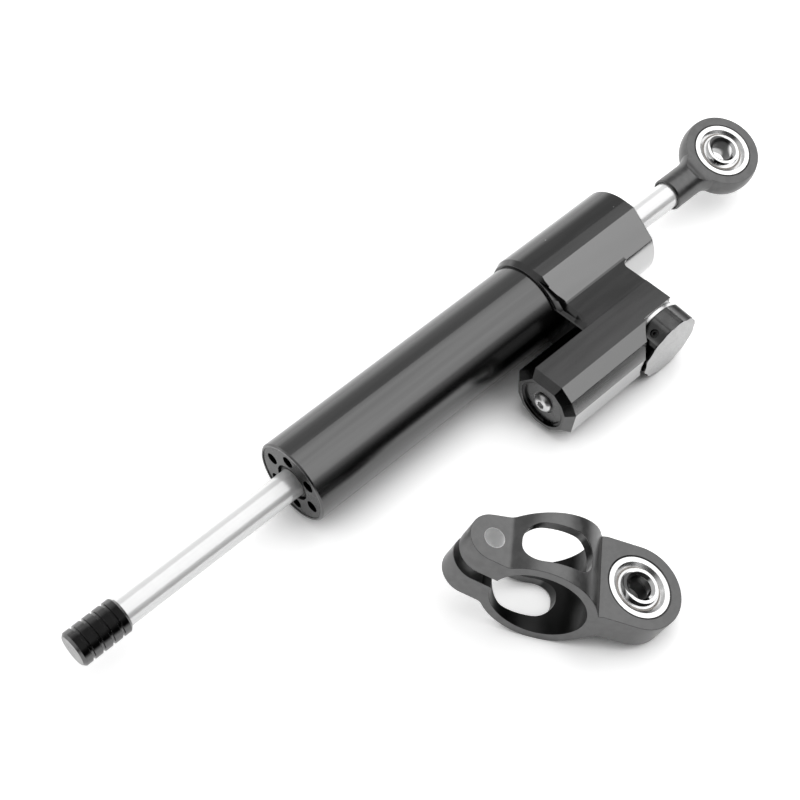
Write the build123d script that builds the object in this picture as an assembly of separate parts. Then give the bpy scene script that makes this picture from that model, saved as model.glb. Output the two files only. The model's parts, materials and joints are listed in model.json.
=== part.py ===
from build123d import *
import math
import os

# Linear steering damper for a motorcycle, with the separate clamp that holds its barrel.
# Millimetres. The barrel axis is X, with the rod eye at +X, and Z is up. The origin is on
# the barrel axis, halfway along the bare stretch of the barrel that the clamp grips.
# The damper lies as in the photograph, leaning on the edge of its knob. The block beside
# the barrel is drawn upright, with outwards as -Y and up as +Z, and is leaned over last.

# Rod and barrel
ROD_R = 5.0
BARREL_R = 15.0
BARREL_WALL = 2.5
BARREL_BARE = 108.0              # bare length between front cap and head
BARREL_SOCKET = 13.0             # length that is held inside the head
BARREL_EDGE = 0.5
SPIGOT_STEP = 1.1                # the barrel is thinner by this much inside the head
CAP_SEAT_WALL = 1.0              # wall round the counterbore that the front gland sits in
CAP_SEAT_DEEP = 3.0

# Front gland
GLAND_RECESS = 0.3               # face of the gland behind the end of the barrel
GLAND_LONG = 13.5
SPANNER_HOLES = 6
SPANNER_HOLE_R = 2.2
SPANNER_RING_IN = 2.5            # ring of spanner holes inside the bore of the barrel
SPANNER_DEEP = 3.2
SPANNER_TURN = 52.0
GLAND_GROOVE_AT = 9.7            # middle of the ring groove behind the face of the gland
GLAND_GROOVE_WIDE = 1.8
WIPER_DEEP = 1.8                 # wiper, bush and seal lips outside the rod
WIPER_LONG = 3.1
BUSH_WALL = 1.4
SEAL_LONG = 2.9
LAND_LONG = 1.0                  # solid land between wiper and seal
LAND_GAP = 0.25                  # between the rod and the lands beside its seals
WIPER_LIP = 0.6                  # free edge of a wiper's lip
WIPER_LIP_LONG = 1.2
WIPER_RELIEF = 0.4
WIPER_SHOULDER = 1.0

# Piston
PISTON_LONG = 12.0
PISTON_X = -8.5
PISTON_GAP = 0.2
RING_WIDE = 2.6
RING_DEEP = 1.7
RING_SPLIT = 0.4
CLIP_THICK = 0.9
CLIP_BITE = 0.5
CLIP_PROUD = 1.6
CLIP_GAP = 2.6

# Head
HEAD_WALL = 1.75
HEAD_LONG = 49.2
HEAD_EDGE = 0.7
FACET_ANGLE = 54.3               # direction of the sloping flat, from outwards to up
FACET_DEEP = 1.1                 # depth of that flat below the round of the head
NOSE_OUT = 3.2                   # upper end of the flat, measured outwards
DECK_IN = 3.55                   # the deck starts this far inside the round of the head
DECK_SLOPE = 7.6
COLLAR_DOWN = 1.0                # coned collar at the front of the head
COLLAR_BACK = 2.2
VALLEY_FILLET = 1.2
WEB_LONG = 32.0
WEB_UNDER = -8.0
NOTCH_R = 2.5
NOTCH_OUT = 14.2
HOLLOW_LIP = 0.6                 # rim that the hollow run-out leaves at the front
HOLLOW_MIDDLE = 3.3              # its middle and back, behind the front of the head
HOLLOW_BACK = 5.15
HOLLOW_TOP = 20.0
HOLLOW_NEAR = ((2.9, 15.9), (9.0, 11.6), (13.2, 6.9), (20.0, 8.0), (27.6, 11.72))
HOLLOW_MIDST = ((9.4, 12.52), (11.0, 10.0), (14.0, 7.6), (19.5, 8.7), (24.4, 11.29))
HOLLOW_FAR = ((12.5, 10.3), (13.0, 9.95), (14.5, 9.96), (18.5, 10.5), (20.3, 10.74))

# Rear seals and the face seal at the end of the barrel
HEAD_RING_DEEP = 1.1
HEAD_RING_HALF = 0.6
REAR_BUSH_LONG = 15.0
REAR_POCKET_DEEP = 3.0           # pocket of the rear seals outside the rod
REAR_POCKET_LONG = 16.4
REAR_SEAL_LONG = 4.0
REAR_CLIP_THICK = 1.0
REAR_WIPER_LONG = 5.0
WIPER_RECESS = 0.4
REAR_CLIP_BITE = 0.7
REAR_CLIP_WIDE = 1.9
REAR_CLIP_GAP = 3.0

# Reservoir beside the barrel
RES_GAP = 15.73                  # axis of the reservoir, outwards from the round of the head
RES_CORNER_R = 13.5
RES_TOP_ANGLES = (69.7, 44.0, 20.3, -24.0, -60.0, -96.0, -130.0)
RES_BACK_ANGLES = (-158.0, 167.0, 122.0)
RES_FRONT = -25.7                # front face, measured from the front face of the head
RES_CHAMFER = 2.6
RES_BORE_R = 9.2
RES_BORE_LONG = 31.7
CAP_RECESS = 1.4
CAP_THICK = 4.5
CAP_CLIP_THICK = 0.8
CAP_CLIP_IN_R = 8.3
CAP_CLIP_BITE = 0.5
CAP_CLIP_GAP = 5.0
CAP_CLIP_TURN = 150.0
BUTTON_R = 3.6
BUTTON_HIGH = 2.2
BUTTON_PROUD = 1.9
BUTTON_POCKET_R = 4.3
BUTTON_SHANK_R = 2.0
BUTTON_BEYOND = 1.5              # shank beyond the back of the cap
BUTTON_RIM = 0.5                 # straight rim of the head, and the flat on its crown
BUTTON_TOP_R = 1.6
BUTTON_BULGE = 0.45
HEX_ACROSS = 2.5
HEX_DEEP = 1.4

# Floating piston in the reservoir
FLOAT_LONG = 8.0
FLOAT_GAP = 10.0                 # from the back of the cap to the floating piston
FLOAT_WALL = 1.8
FLOAT_CUP_DEEP = 5.0
RING_GROOVE_DEEP = 1.4           # ring grooves of the cap and of the floating piston
RING_GROOVE_HALF = 0.9
CAP_GROOVE_BACK = 0.4            # groove of the cap behind its middle

# Adjuster
KNOB_X = 24.65                   # knob axis behind the front face of the head
KNOB_R = 12.8
KNOB_FLUTES = 12
FLUTE_R = 8.0
FLUTE_DEEP = 0.75
KNOB_GAP = 0.2
KNOB_THICK = 7.9
KNOB_EDGE = 0.35
FLANGE_R = 12.0
FLANGE_THICK = 1.5
BOSS_R = 11.9
BOSS_BEYOND = 3.72               # face of the boss beyond the reservoir's axis
BOSS_ROOT = 2.5                  # start of the boss before that axis
POCKET_R = 14.0
BONNET_R = 6.0
CHAMBER_R = 4.5
CHAMBER_LONG = 12.0
CHAMBER_GAP = 0.2                # between the valve chamber and the round of the barrel
BONNET_RING_IN = 2.7             # bonnet's ring behind the face of the boss
SPINDLE_RING_UP = 3.3            # spindle's ring above the chamber
SPINDLE_GROOVE_DEEP = 0.9
SPINDLE_GROOVE_HALF = 0.7
SPINDLE_SHORT = 1.8              # end of the spindle below the face of the knob
SPINDLE_R = 3.0
STUB_R = 2.0
STUB_UP = 2.0                    # end of the stub above the needle's closed end
COLLAR_R = 4.2
COLLAR_THICK = 1.5
NEEDLE_GAP = 0.08
NEEDLE_UP = 1.8                  # closed end of the needle above the chamber's floor
NEEDLE_LONG = 5.3
NEEDLE_TIP_LONG = 3.0
NEEDLE_TIP_R = 0.4
NEEDLE_TRAVEL = 0.42
SEAT_R = 1.5
PORT_IN = 2.0                    # drilling to the barrel, inside its bore
RES_PORT_IN = 6.98               # drilling to the reservoir, inwards from its axis
RES_PORT_R = 1.2
GUIDE_R = 0.75
GUIDE_BESIDE = 0.1               # pin outside the wall of the chamber
GUIDE_LONG = 8.6
SET_SCREW_R = 1.5
SET_SCREW_SHORT = 1.6            # outer end of the set screw below the outside of the knob
SET_SCREW_ANGLE = 33.0
SET_SCREW_HEX = 1.5
SET_SCREW_SOCKET = 1.5
CLICK_R = 9.0
CLICKS = 24
CLICK_DEEP = 0.4
BALL_R = 1.25
CLICK_HOLE_LONG = 5.2
SPRING_WALL = 0.5

# Spherical bearings in the rod eye and in the clamp
RACE_WALL = 2.7                  # race outside the sphere of the ball
RACE_WIDE = 8.1
RACE_LAND = 1.65                 # flat ring of the race round its mouth
LINER_HALF = 3.1
LINER_THICK = 0.32
PIVOT_R = 7.75                   # sphere of the ball
PIVOT_WIDE = 9.84
BOLT_R = 4.0
BOLT_CHAMFER = 0.95
STAKE = 0.5                      # chamfer of the housing round the race

# Rod ends
ROD_OUT_REAR = 25.4              # bare rod between head and eye
SHANK_LONG = 29.3                # from the end of the shank to the middle of the eye
EYE_WALL = 3.62
EYE_THICK = 8.12
EYE_ROLL = 18.25
EYE_BULGE = 0.7                  # the round side of the housing swells by this much
SHANK_WALL = 1.2
SHANK_FILLET = 10.0
SHANK_EDGE = 0.5
RUNOUT_R = 8.0
RUNOUT_RISE = 0.3                # the curved run-out of a cheek ends this far above the shank
RUNOUT_IN = 1.0                  # and starts this far inside the round of the housing
ROD_IN_EYE = 8.0
MOUTH_GAP = 0.6
MOUTH_DEEP = 1.0
ROD_OUT_FRONT = 68.7             # bare rod between barrel and grip
GRIP_LONG = 18.65
GRIP_WALL = 1.2
GRIP_RIBS = 5
GRIP_GROOVE_DEEP = 0.55
GRIP_GROOVE_TOP = 1.2            # width of a groove at the surface, and at its bottom
GRIP_GROOVE_FLOOR = 0.7
GRIP_EDGE = 0.9
ROD_IN_GRIP = 13.3

# Barrel clamp, in its own frame: U towards the bearing, W along the ring's bore, N up
CLAMP_X = -21.29
CLAMP_Y = -78.44
CLAMP_TURN = -50.0               # direction of U on the floor
CLAMP_GAP = 0.05                 # between the clamp's ring and the barrel, before it is tightened
CLAMP_WALL = 3.25
CLAMP_HALF = 11.5                # half the ring's width at its middle
CLAMP_TAPER = 0.17               # gain of that half width for each millimetre along U
BOSS_BEYOND_RING = 11.54         # middle of the bearing beyond the round of the ring
BOSS_WALL = 3.95
BOSS_TOP = 8.8
BOSS_BOTTOM = -2.34
EAR_BEYOND_RING = 1.9            # middle of the ears beyond the round of the ring
EAR_HALF_HIGH = 11.2
EAR_HOLE_R = 3.25
EAR_FILLET = 3.0
VALLEY_IN_RING = 1.7             # shallow groove between ring and boss
VALLEY_N = 8.2
VALLEY_WIDE = 3.2
HEEL_IN_RING = 3.3               # underside of the web between ring and boss
HEEL_BEYOND_RING = 2.6
SLIT_TOP = 2.6
SLIT_BOTTOM = -2.0
WINDOW_EAR_WALL = 6.1            # ring left beside the windows, at the ears and at the boss
WINDOW_BOSS_WALL = 7.7
WINDOW_HALF = 6.8
WINDOW_CORNER = 6.2
RACE_SUNK = 0.15
THROAT = 0.4                     # hole below the race, wider than its mouth by this much

# Clearances
SLIDE = 0.05                     # between rod, bushes, seals and other running pieces
SEAT = 0.02                      # between pieces that are fitted and stay put
END_PLAY = 0.1
BREAK = 0.4                      # broken edges of turned pieces
FINE_BREAK = 0.2

# Places that follow from the sizes above
BARREL_FRONT = -BARREL_BARE / 2
HEAD_FRONT = BARREL_BARE / 2
HEAD_R = BARREL_R + HEAD_WALL
FACET_R = HEAD_R - FACET_DEEP
DECK_OUT = HEAD_R - DECK_IN
SPIGOT_R = BARREL_R - SPIGOT_STEP
CAP_SEAT_R = BARREL_R - CAP_SEAT_WALL
WIPER_R = ROD_R + WIPER_DEEP
BUSH_R = ROD_R + BUSH_WALL
LIP_R = ROD_R + LAND_GAP
CLIP_OUT_R = ROD_R + CLIP_PROUD
REAR_POCKET_R = ROD_R + REAR_POCKET_DEEP
HEAD_REAR = HEAD_FRONT + HEAD_LONG
BARREL_END = HEAD_FRONT + BARREL_SOCKET
BARREL_IN_R = BARREL_R - BARREL_WALL
SPANNER_RING_R = BARREL_IN_R - SPANNER_RING_IN
GLAND_FRONT = BARREL_FRONT + GLAND_RECESS
GLAND_END = GLAND_FRONT + GLAND_LONG
GLAND_GROOVE = GLAND_FRONT + GLAND_GROOVE_AT
KNOB_AT = HEAD_FRONT + KNOB_X
RES_OUT = HEAD_R + RES_GAP
BOSS_FACE = RES_OUT + BOSS_BEYOND
KNOB_IN = BOSS_FACE + FLANGE_THICK + KNOB_GAP
KNOB_OUT = KNOB_IN + KNOB_THICK
CHAMBER_IN = BARREL_R + CHAMBER_GAP
CHAMBER_OUT = CHAMBER_IN + CHAMBER_LONG
BONNET_RING_AT = BOSS_FACE - BONNET_RING_IN
SPINDLE_RING_AT = CHAMBER_OUT + SPINDLE_RING_UP
SPINDLE_TOP = KNOB_OUT - SPINDLE_SHORT
NEEDLE_R = CHAMBER_R - NEEDLE_GAP
NEEDLE_IN = CHAMBER_IN + NEEDLE_UP
PORT_OUT = BARREL_IN_R - PORT_IN
RES_PORT_OUT = RES_OUT - RES_PORT_IN
GUIDE_OUT = CHAMBER_R + GUIDE_BESIDE
RACE_R = PIVOT_R + RACE_WALL
RACE_MOUTH_R = RACE_R - RACE_LAND
EYE_R = RACE_R + EYE_WALL
SHANK_X = HEAD_REAR + ROD_OUT_REAR
EYE_X = SHANK_X + SHANK_LONG
SHANK_R = ROD_R + SHANK_WALL
SET_SCREW_LONG = KNOB_R - SPINDLE_R - SET_SCREW_SHORT
MOUTH_R = ROD_R + MOUTH_GAP
GRIP_R = ROD_R + GRIP_WALL
GRIP_FRONT = BARREL_FRONT - ROD_OUT_FRONT - GRIP_LONG
CLAMP_BORE_R = BARREL_R + CLAMP_GAP
CLAMP_R = CLAMP_BORE_R + CLAMP_WALL
BOSS_PLAN_R = RACE_R + BOSS_WALL
BOSS_U = CLAMP_R + BOSS_BEYOND_RING
EAR_U = -CLAMP_R - EAR_BEYOND_RING
VALLEY_U = CLAMP_R - VALLEY_IN_RING
HEEL_FROM = CLAMP_R - HEEL_IN_RING
HEEL_TO = CLAMP_R + HEEL_BEYOND_RING
WINDOW_FROM = WINDOW_EAR_WALL - CLAMP_R
WINDOW_TO = CLAMP_R - WINDOW_BOSS_WALL
RES_NOSE = HEAD_FRONT + RES_FRONT
RES_BORE_END = RES_NOSE + RES_BORE_LONG
CAP_FACE = RES_NOSE + CAP_RECESS
CAP_BACK = CAP_FACE + CAP_THICK
REAR_POCKET = HEAD_REAR - REAR_POCKET_LONG
WEB_REAR = HEAD_FRONT + WEB_LONG
FLOOR = -HEAD_R
BLOCK_LEAN = math.degrees(
    math.asin(HEAD_R / math.hypot(KNOB_OUT, KNOB_R)) - math.atan2(KNOB_R, KNOB_OUT)
)


def turned(points):
    """A solid of revolution about X from a closed outline of (x, radius) points."""
    return revolve(Plane.XZ * make_face(Polyline(*points, close=True)), Axis.X)


def tube(x0, x1, outer, inner=0.0):
    """A plain round tube or disc on the X axis."""
    return turned([(x0, inner), (x0, outer), (x1, outer), (x1, inner)])


def chamfered_tube(x0, x1, outer, inner, edge):
    """A tube whose outer corners are broken."""
    return turned([
        (x0, inner), (x0, outer - edge), (x0 + edge, outer),
        (x1 - edge, outer), (x1, outer - edge), (x1, inner),
    ])


def o_ring(x, inner, outer):
    """A rubber ring that fills a groove from the inner to the outer radius."""
    cord = (outer - inner) / 2
    return revolve(Plane.XZ * Pos(x, inner + cord) * Circle(cord), Axis.X)


def snap_ring(x0, x1, outer, inner, gap):
    """A spring clip, open at the top."""
    opening = Pos((x0 + x1) / 2, 0, outer) * Box(2 * (x1 - x0), gap, 2 * outer)
    return tube(x0, x1, outer, inner) - opening


def drill(x0, x1, radius, out=0.0, up=0.0):
    """A round cutter along X, drawn at a place beside the barrel axis."""
    return Pos(0, -out, up) * tube(x0, x1, radius)


def leaned(shape):
    """Lean a piece of the block over, about the barrel axis."""
    return shape.rotate(Axis.X, BLOCK_LEAN)


def on_reservoir(shape):
    """Place a piece that was turned about X on the axis of the reservoir."""
    return leaned(Pos(0, -RES_OUT, 0) * shape)


def upright_valve(shape):
    """Turn a piece drawn along X to the adjuster's axis, which points outwards."""
    return Pos(KNOB_AT, 0, 0) * Rot(0, 0, -90) * shape


def on_valve(shape):
    return leaned(upright_valve(shape))


def corner(out, up):
    """A point of the block's section, outwards and up, on the YZ plane."""
    return (-out, up)


def reservoir_corner(angle):
    turn = math.radians(angle)
    return corner(RES_OUT + RES_CORNER_R * math.cos(turn), RES_CORNER_R * math.sin(turn))


def facet_height(out):
    """Height of the sloping flat at a place outwards from the barrel axis."""
    turn = math.radians(FACET_ANGLE)
    return (FACET_R - out * math.cos(turn)) / math.sin(turn)


def deck_height(out):
    return facet_height(DECK_OUT) + (out - DECK_OUT) * math.tan(math.radians(DECK_SLOPE))


def circle_point(radius, angle):
    turn = math.radians(angle)
    return corner(radius * math.cos(turn), radius * math.sin(turn))


def prism(face, x0, x1):
    """Extrude a section drawn on the YZ plane from x0 to x1."""
    return extrude(Plane.YZ.offset(x0) * face, x1 - x0, dir=(1, 0, 0))


def head_section():
    """Round head with one sloping flat that ends in a short level nose."""
    nose = (NOSE_OUT, facet_height(NOSE_OUT))
    reach = math.hypot(*nose)
    tangent = math.degrees(math.atan2(nose[1], nose[0]) + math.acos(HEAD_R / reach))
    foot = math.degrees(math.acos(FACET_R / HEAD_R))
    low = FACET_ANGLE - foot
    start = circle_point(HEAD_R, low)
    middle = circle_point(HEAD_R, (low + tangent - 360) / 2)
    end = circle_point(HEAD_R, tangent)
    arc = ThreePointArc(start, middle, end)
    top = Polyline(end, corner(*nose), start)
    return make_face(arc.edges() + top.edges())


def bridge_section():
    """The bridge between head and reservoir: a sloping deck above, level below."""
    deck = [corner(DECK_OUT, facet_height(DECK_OUT)), reservoir_corner(RES_TOP_ANGLES[0])]
    under = [corner(RES_OUT, WEB_UNDER), corner(0, WEB_UNDER), corner(0, 0)]
    return make_face(Polyline(*deck, corner(RES_OUT, 0), *under, close=True))


def web_section():
    """Head and bridge together, with the valley between flat and deck rounded."""
    section = head_section() + bridge_section()
    valley = Vector(*corner(DECK_OUT, facet_height(DECK_OUT)), 0)
    return fillet(section.vertices().sort_by_distance(valley)[0], VALLEY_FILLET)


def reservoir_section():
    angles = RES_TOP_ANGLES + RES_BACK_ANGLES
    return make_face(Polyline(*[reservoir_corner(a) for a in angles], close=True))


def hollow_section(back, floor):
    """Section of the hollow at a place behind the front of the head, open at the top."""
    top = [(floor[-1][0], HOLLOW_TOP), (floor[0][0], HOLLOW_TOP)]
    outline = Polyline(*[corner(*point) for point in (*floor, *top)], close=True)
    return Plane.YZ.offset(HEAD_FRONT + back) * make_face(outline)


def hollow_cutter():
    """Cutter for the leaf-shaped hollow where flat and deck run out behind the collar."""
    near = hollow_section(HOLLOW_LIP, HOLLOW_NEAR)
    middle = hollow_section(HOLLOW_MIDDLE, HOLLOW_MIDST)
    far = hollow_section(HOLLOW_BACK, HOLLOW_FAR)
    return loft([near, middle, far], ruled=True)


def head_casting():
    """Head, web and reservoir as one machined block, before it is bored."""
    collar_end = HEAD_FRONT + COLLAR_BACK
    body = prism(web_section(), collar_end, WEB_REAR)
    body += prism(head_section(), collar_end, HEAD_REAR)
    rear = body.faces().sort_by(Axis.X)[-1]
    body = chamfer(rear.edges(), HEAD_EDGE)
    collar = turned([
        (HEAD_FRONT, 0), (HEAD_FRONT, HEAD_R - COLLAR_DOWN), (collar_end, HEAD_R), (collar_end, 0),
    ])
    body = body + collar + prism(bridge_section(), HEAD_FRONT, collar_end)
    body -= hollow_cutter()
    reservoir = prism(reservoir_section(), RES_NOSE, WEB_REAR)
    nose = reservoir.faces().sort_by(Axis.X)[0]
    reservoir = chamfer(nose.edges(), RES_CHAMFER)
    root = prism(web_section(), WEB_REAR, WEB_REAR + NOTCH_R)
    root &= Pos(WEB_REAR, -(NOTCH_OUT + NOTCH_R) / 2, 0) * Box(
        4 * NOTCH_R, NOTCH_OUT + NOTCH_R, 4 * HEAD_R
    )
    root -= Pos(WEB_REAR + NOTCH_R, -NOTCH_OUT - NOTCH_R, 0) * Cylinder(NOTCH_R, 4 * HEAD_R)
    boss = upright_valve(tube(RES_OUT - BOSS_ROOT, BOSS_FACE, BOSS_R))
    body = body + reservoir + root + boss
    pocket = upright_valve(tube(BOSS_FACE, 2 * RES_OUT, POCKET_R))
    pocket += Pos(KNOB_AT + RES_OUT, -BOSS_FACE - RES_OUT, 0) * Box(
        2 * RES_OUT, 2 * RES_OUT, 4 * RES_OUT
    )
    return body - pocket


def click_cutter():
    """The blind hole for the click spring and its ball."""
    return Pos(0, 0, -CLICK_R) * tube(BOSS_FACE - CLICK_HOLE_LONG, KNOB_IN, BALL_R + SLIDE)


def head_block():
    """The bored block that holds barrel, rear seals, reservoir and adjuster."""
    body = head_casting()
    groove_r = (BARREL_IN_R + SPIGOT_R) / 2
    body -= tube(HEAD_FRONT, BARREL_END, SPIGOT_R + SEAT)
    groove_in, groove_out = groove_r - HEAD_RING_HALF, groove_r + HEAD_RING_HALF
    body -= tube(BARREL_END, BARREL_END + HEAD_RING_DEEP, groove_out, groove_in)
    body -= tube(BARREL_END, BARREL_END + REAR_BUSH_LONG, BUSH_R + SEAT)
    body -= tube(BARREL_END, HEAD_REAR, LIP_R)
    body -= tube(REAR_POCKET, HEAD_REAR, REAR_POCKET_R + SEAT)
    clip_at = REAR_POCKET + REAR_SEAL_LONG + END_PLAY
    body -= tube(clip_at, clip_at + REAR_CLIP_THICK + END_PLAY, REAR_POCKET_R + REAR_CLIP_BITE)
    body -= drill(BARREL_END, KNOB_AT, SEAT_R, PORT_OUT)
    body -= drill(RES_BORE_END, KNOB_AT, RES_PORT_R, RES_PORT_OUT)
    body -= drill(RES_NOSE, RES_BORE_END, RES_BORE_R, RES_OUT)
    clip_x = CAP_FACE - CAP_CLIP_THICK - END_PLAY
    body -= drill(clip_x, CAP_FACE, RES_BORE_R + CAP_CLIP_BITE, RES_OUT)
    body -= upright_valve(tube(PORT_OUT, CHAMBER_IN, SEAT_R))
    body -= upright_valve(tube(CHAMBER_IN, CHAMBER_OUT, CHAMBER_R))
    body -= upright_valve(tube(CHAMBER_OUT, BOSS_FACE, BONNET_R + SEAT))
    guide_end = CHAMBER_IN + GUIDE_LONG + END_PLAY
    body -= upright_valve(Pos(0, 0, GUIDE_OUT) * tube(CHAMBER_IN, guide_end, GUIDE_R + SEAT))
    body -= upright_valve(click_cutter())
    return leaned(body)


def barrel_tube():
    """Plain tube with a stepped mouth for the gland."""
    step = BARREL_FRONT + CAP_SEAT_DEEP
    return turned([
        (BARREL_FRONT, CAP_SEAT_R), (BARREL_FRONT, BARREL_R - BARREL_EDGE),
        (BARREL_FRONT + BARREL_EDGE, BARREL_R), (HEAD_FRONT - SEAT, BARREL_R),
        (HEAD_FRONT - SEAT, SPIGOT_R), (BARREL_END, SPIGOT_R),
        (BARREL_END, BARREL_IN_R), (step, BARREL_IN_R), (step, CAP_SEAT_R),
    ])


def front_gland():
    """Screwed plug with six holes for a pin spanner and pockets for wiper and bush."""
    flange = BARREL_FRONT + CAP_SEAT_DEEP
    wiper_end = GLAND_FRONT + WIPER_LONG
    pocket = wiper_end + LAND_LONG
    body_r = BARREL_IN_R - SEAT
    gland = turned([
        (GLAND_FRONT, WIPER_R), (GLAND_FRONT, CAP_SEAT_R - SEAT), (flange, CAP_SEAT_R - SEAT),
        (flange, body_r), (GLAND_END, body_r), (GLAND_END, BUSH_R + SEAT),
        (pocket, BUSH_R + SEAT), (pocket, LIP_R), (wiper_end, LIP_R), (wiper_end, WIPER_R),
    ])
    half = GLAND_GROOVE_WIDE / 2
    gland -= tube(GLAND_GROOVE - half, GLAND_GROOVE + half, BARREL_R, body_r - RING_GROOVE_DEEP)
    hole = Pos(0, 0, SPANNER_RING_R) * tube(GLAND_FRONT, GLAND_FRONT + SPANNER_DEEP, SPANNER_HOLE_R)
    for i in range(SPANNER_HOLES):
        gland -= hole.rotate(Axis.X, SPANNER_TURN + 360 / SPANNER_HOLES * i)
    return gland


def front_wiper():
    """Rubber scraper with a thin lip on the rod."""
    x0 = GLAND_FRONT + WIPER_RECESS
    x1 = GLAND_FRONT + WIPER_LONG - SEAT
    return turned([
        (x0, ROD_R + SLIDE), (x0, ROD_R + WIPER_LIP), (x0 + WIPER_SHOULDER, WIPER_R - SEAT),
        (x1, WIPER_R - SEAT), (x1, ROD_R + WIPER_RELIEF),
        (x0 + WIPER_LIP_LONG, ROD_R + WIPER_RELIEF), (x0 + WIPER_LIP, ROD_R + SLIDE),
    ])


def front_seal():
    x0 = GLAND_FRONT + WIPER_LONG + LAND_LONG + SEAT
    return chamfered_tube(x0, x0 + SEAL_LONG, BUSH_R, ROD_R + SLIDE, BREAK)


def front_bush():
    x0 = GLAND_FRONT + WIPER_LONG + LAND_LONG + SEAL_LONG + END_PLAY
    return chamfered_tube(x0, GLAND_END - END_PLAY, BUSH_R, ROD_R + SLIDE, BREAK)


def gland_o_ring():
    body_r = BARREL_IN_R - SEAT
    return o_ring(GLAND_GROOVE, body_r - RING_GROOVE_DEEP + SEAT, BARREL_IN_R - SEAT / 2)


def head_o_ring():
    """Face seal between the end of the barrel and the head."""
    groove_r = (BARREL_IN_R + SPIGOT_R) / 2
    half = HEAD_RING_DEEP / 2 - SEAT
    return o_ring(BARREL_END + HEAD_RING_DEEP / 2, groove_r - half, groove_r + half)


def rear_bush():
    x1 = BARREL_END + REAR_BUSH_LONG
    return chamfered_tube(BARREL_END + END_PLAY, x1, BUSH_R, ROD_R + SLIDE, BREAK)


def rear_seal():
    x1 = REAR_POCKET + REAR_SEAL_LONG
    return chamfered_tube(REAR_POCKET, x1, REAR_POCKET_R, ROD_R + SLIDE, BREAK)


def rear_circlip():
    x0 = REAR_POCKET + REAR_SEAL_LONG + 1.5 * END_PLAY
    outer = REAR_POCKET_R + REAR_CLIP_BITE - SLIDE
    return snap_ring(x0, x0 + REAR_CLIP_THICK, outer, outer - REAR_CLIP_WIDE, REAR_CLIP_GAP)


def rear_wiper():
    x1 = HEAD_REAR - WIPER_RECESS
    x0 = x1 - REAR_WIPER_LONG
    return turned([
        (x0, ROD_R + SLIDE), (x0, REAR_POCKET_R), (x1 - WIPER_SHOULDER, REAR_POCKET_R),
        (x1, REAR_POCKET_R - WIPER_SHOULDER), (x1, ROD_R + WIPER_LIP), (x1 - WIPER_LIP, ROD_R + SLIDE),
    ])


def piston():
    """Plain piston with a groove for its split ring."""
    x0 = PISTON_X - PISTON_LONG / 2
    x1 = PISTON_X + PISTON_LONG / 2
    body = chamfered_tube(x0, x1, BARREL_IN_R - PISTON_GAP, ROD_R + SLIDE, BREAK)
    groove = BARREL_IN_R - PISTON_GAP - RING_DEEP
    return body - tube(PISTON_X - RING_WIDE / 2, PISTON_X + RING_WIDE / 2, BARREL_R, groove)


def piston_ring():
    half = RING_WIDE / 2 - SEAT
    inner = BARREL_IN_R - PISTON_GAP - RING_DEEP + SEAT
    return snap_ring(PISTON_X - half, PISTON_X + half, BARREL_IN_R - SLIDE, inner, RING_SPLIT)


def clip_places():
    """Front face of each of the two clips that hold the piston on the rod."""
    reach = PISTON_LONG / 2 + END_PLAY
    return (PISTON_X - reach - CLIP_THICK, PISTON_X + reach)


def rod():
    """Hard chromed rod with two clip grooves and broken ends."""
    x0 = GRIP_FRONT + GRIP_LONG - ROD_IN_GRIP
    x1 = SHANK_X + ROD_IN_EYE
    body = chamfered_tube(x0, x1, ROD_R, 0, BREAK)
    for x in clip_places():
        body -= tube(x - SEAT, x + CLIP_THICK + SEAT, 2 * ROD_R, ROD_R - CLIP_BITE)
    return body


def piston_circlips():
    inner = ROD_R - CLIP_BITE + SEAT
    clips = [snap_ring(x, x + CLIP_THICK, CLIP_OUT_R, inner, CLIP_GAP) for x in clip_places()]
    return Compound(children=clips)


def rod_end_grip():
    """Ribbed end piece screwed on the free end of the rod."""
    pitch = GRIP_LONG / GRIP_RIBS
    body = chamfered_tube(GRIP_FRONT, GRIP_FRONT + GRIP_LONG, GRIP_R, 0, GRIP_EDGE)
    top, floor = GRIP_GROOVE_TOP / 2, GRIP_GROOVE_FLOOR / 2
    for i in range(1, GRIP_RIBS):
        x = GRIP_FRONT + pitch * i
        body -= turned([
            (x - top, 2 * GRIP_R), (x - top, GRIP_R), (x - floor, GRIP_R - GRIP_GROOVE_DEEP),
            (x + floor, GRIP_R - GRIP_GROOVE_DEEP), (x + top, GRIP_R), (x + top, 2 * GRIP_R),
        ])
    x1 = GRIP_FRONT + GRIP_LONG
    return body - tube(x1 - ROD_IN_GRIP - END_PLAY, x1, ROD_R + SEAT)


def on_eye(shape):
    """Place a piece drawn along X on the axis of the eye's bolt."""
    return Pos(EYE_X, 0, 0) * Rot(EYE_ROLL, 0, 0) * Rot(0, -90, 0) * shape


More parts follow.
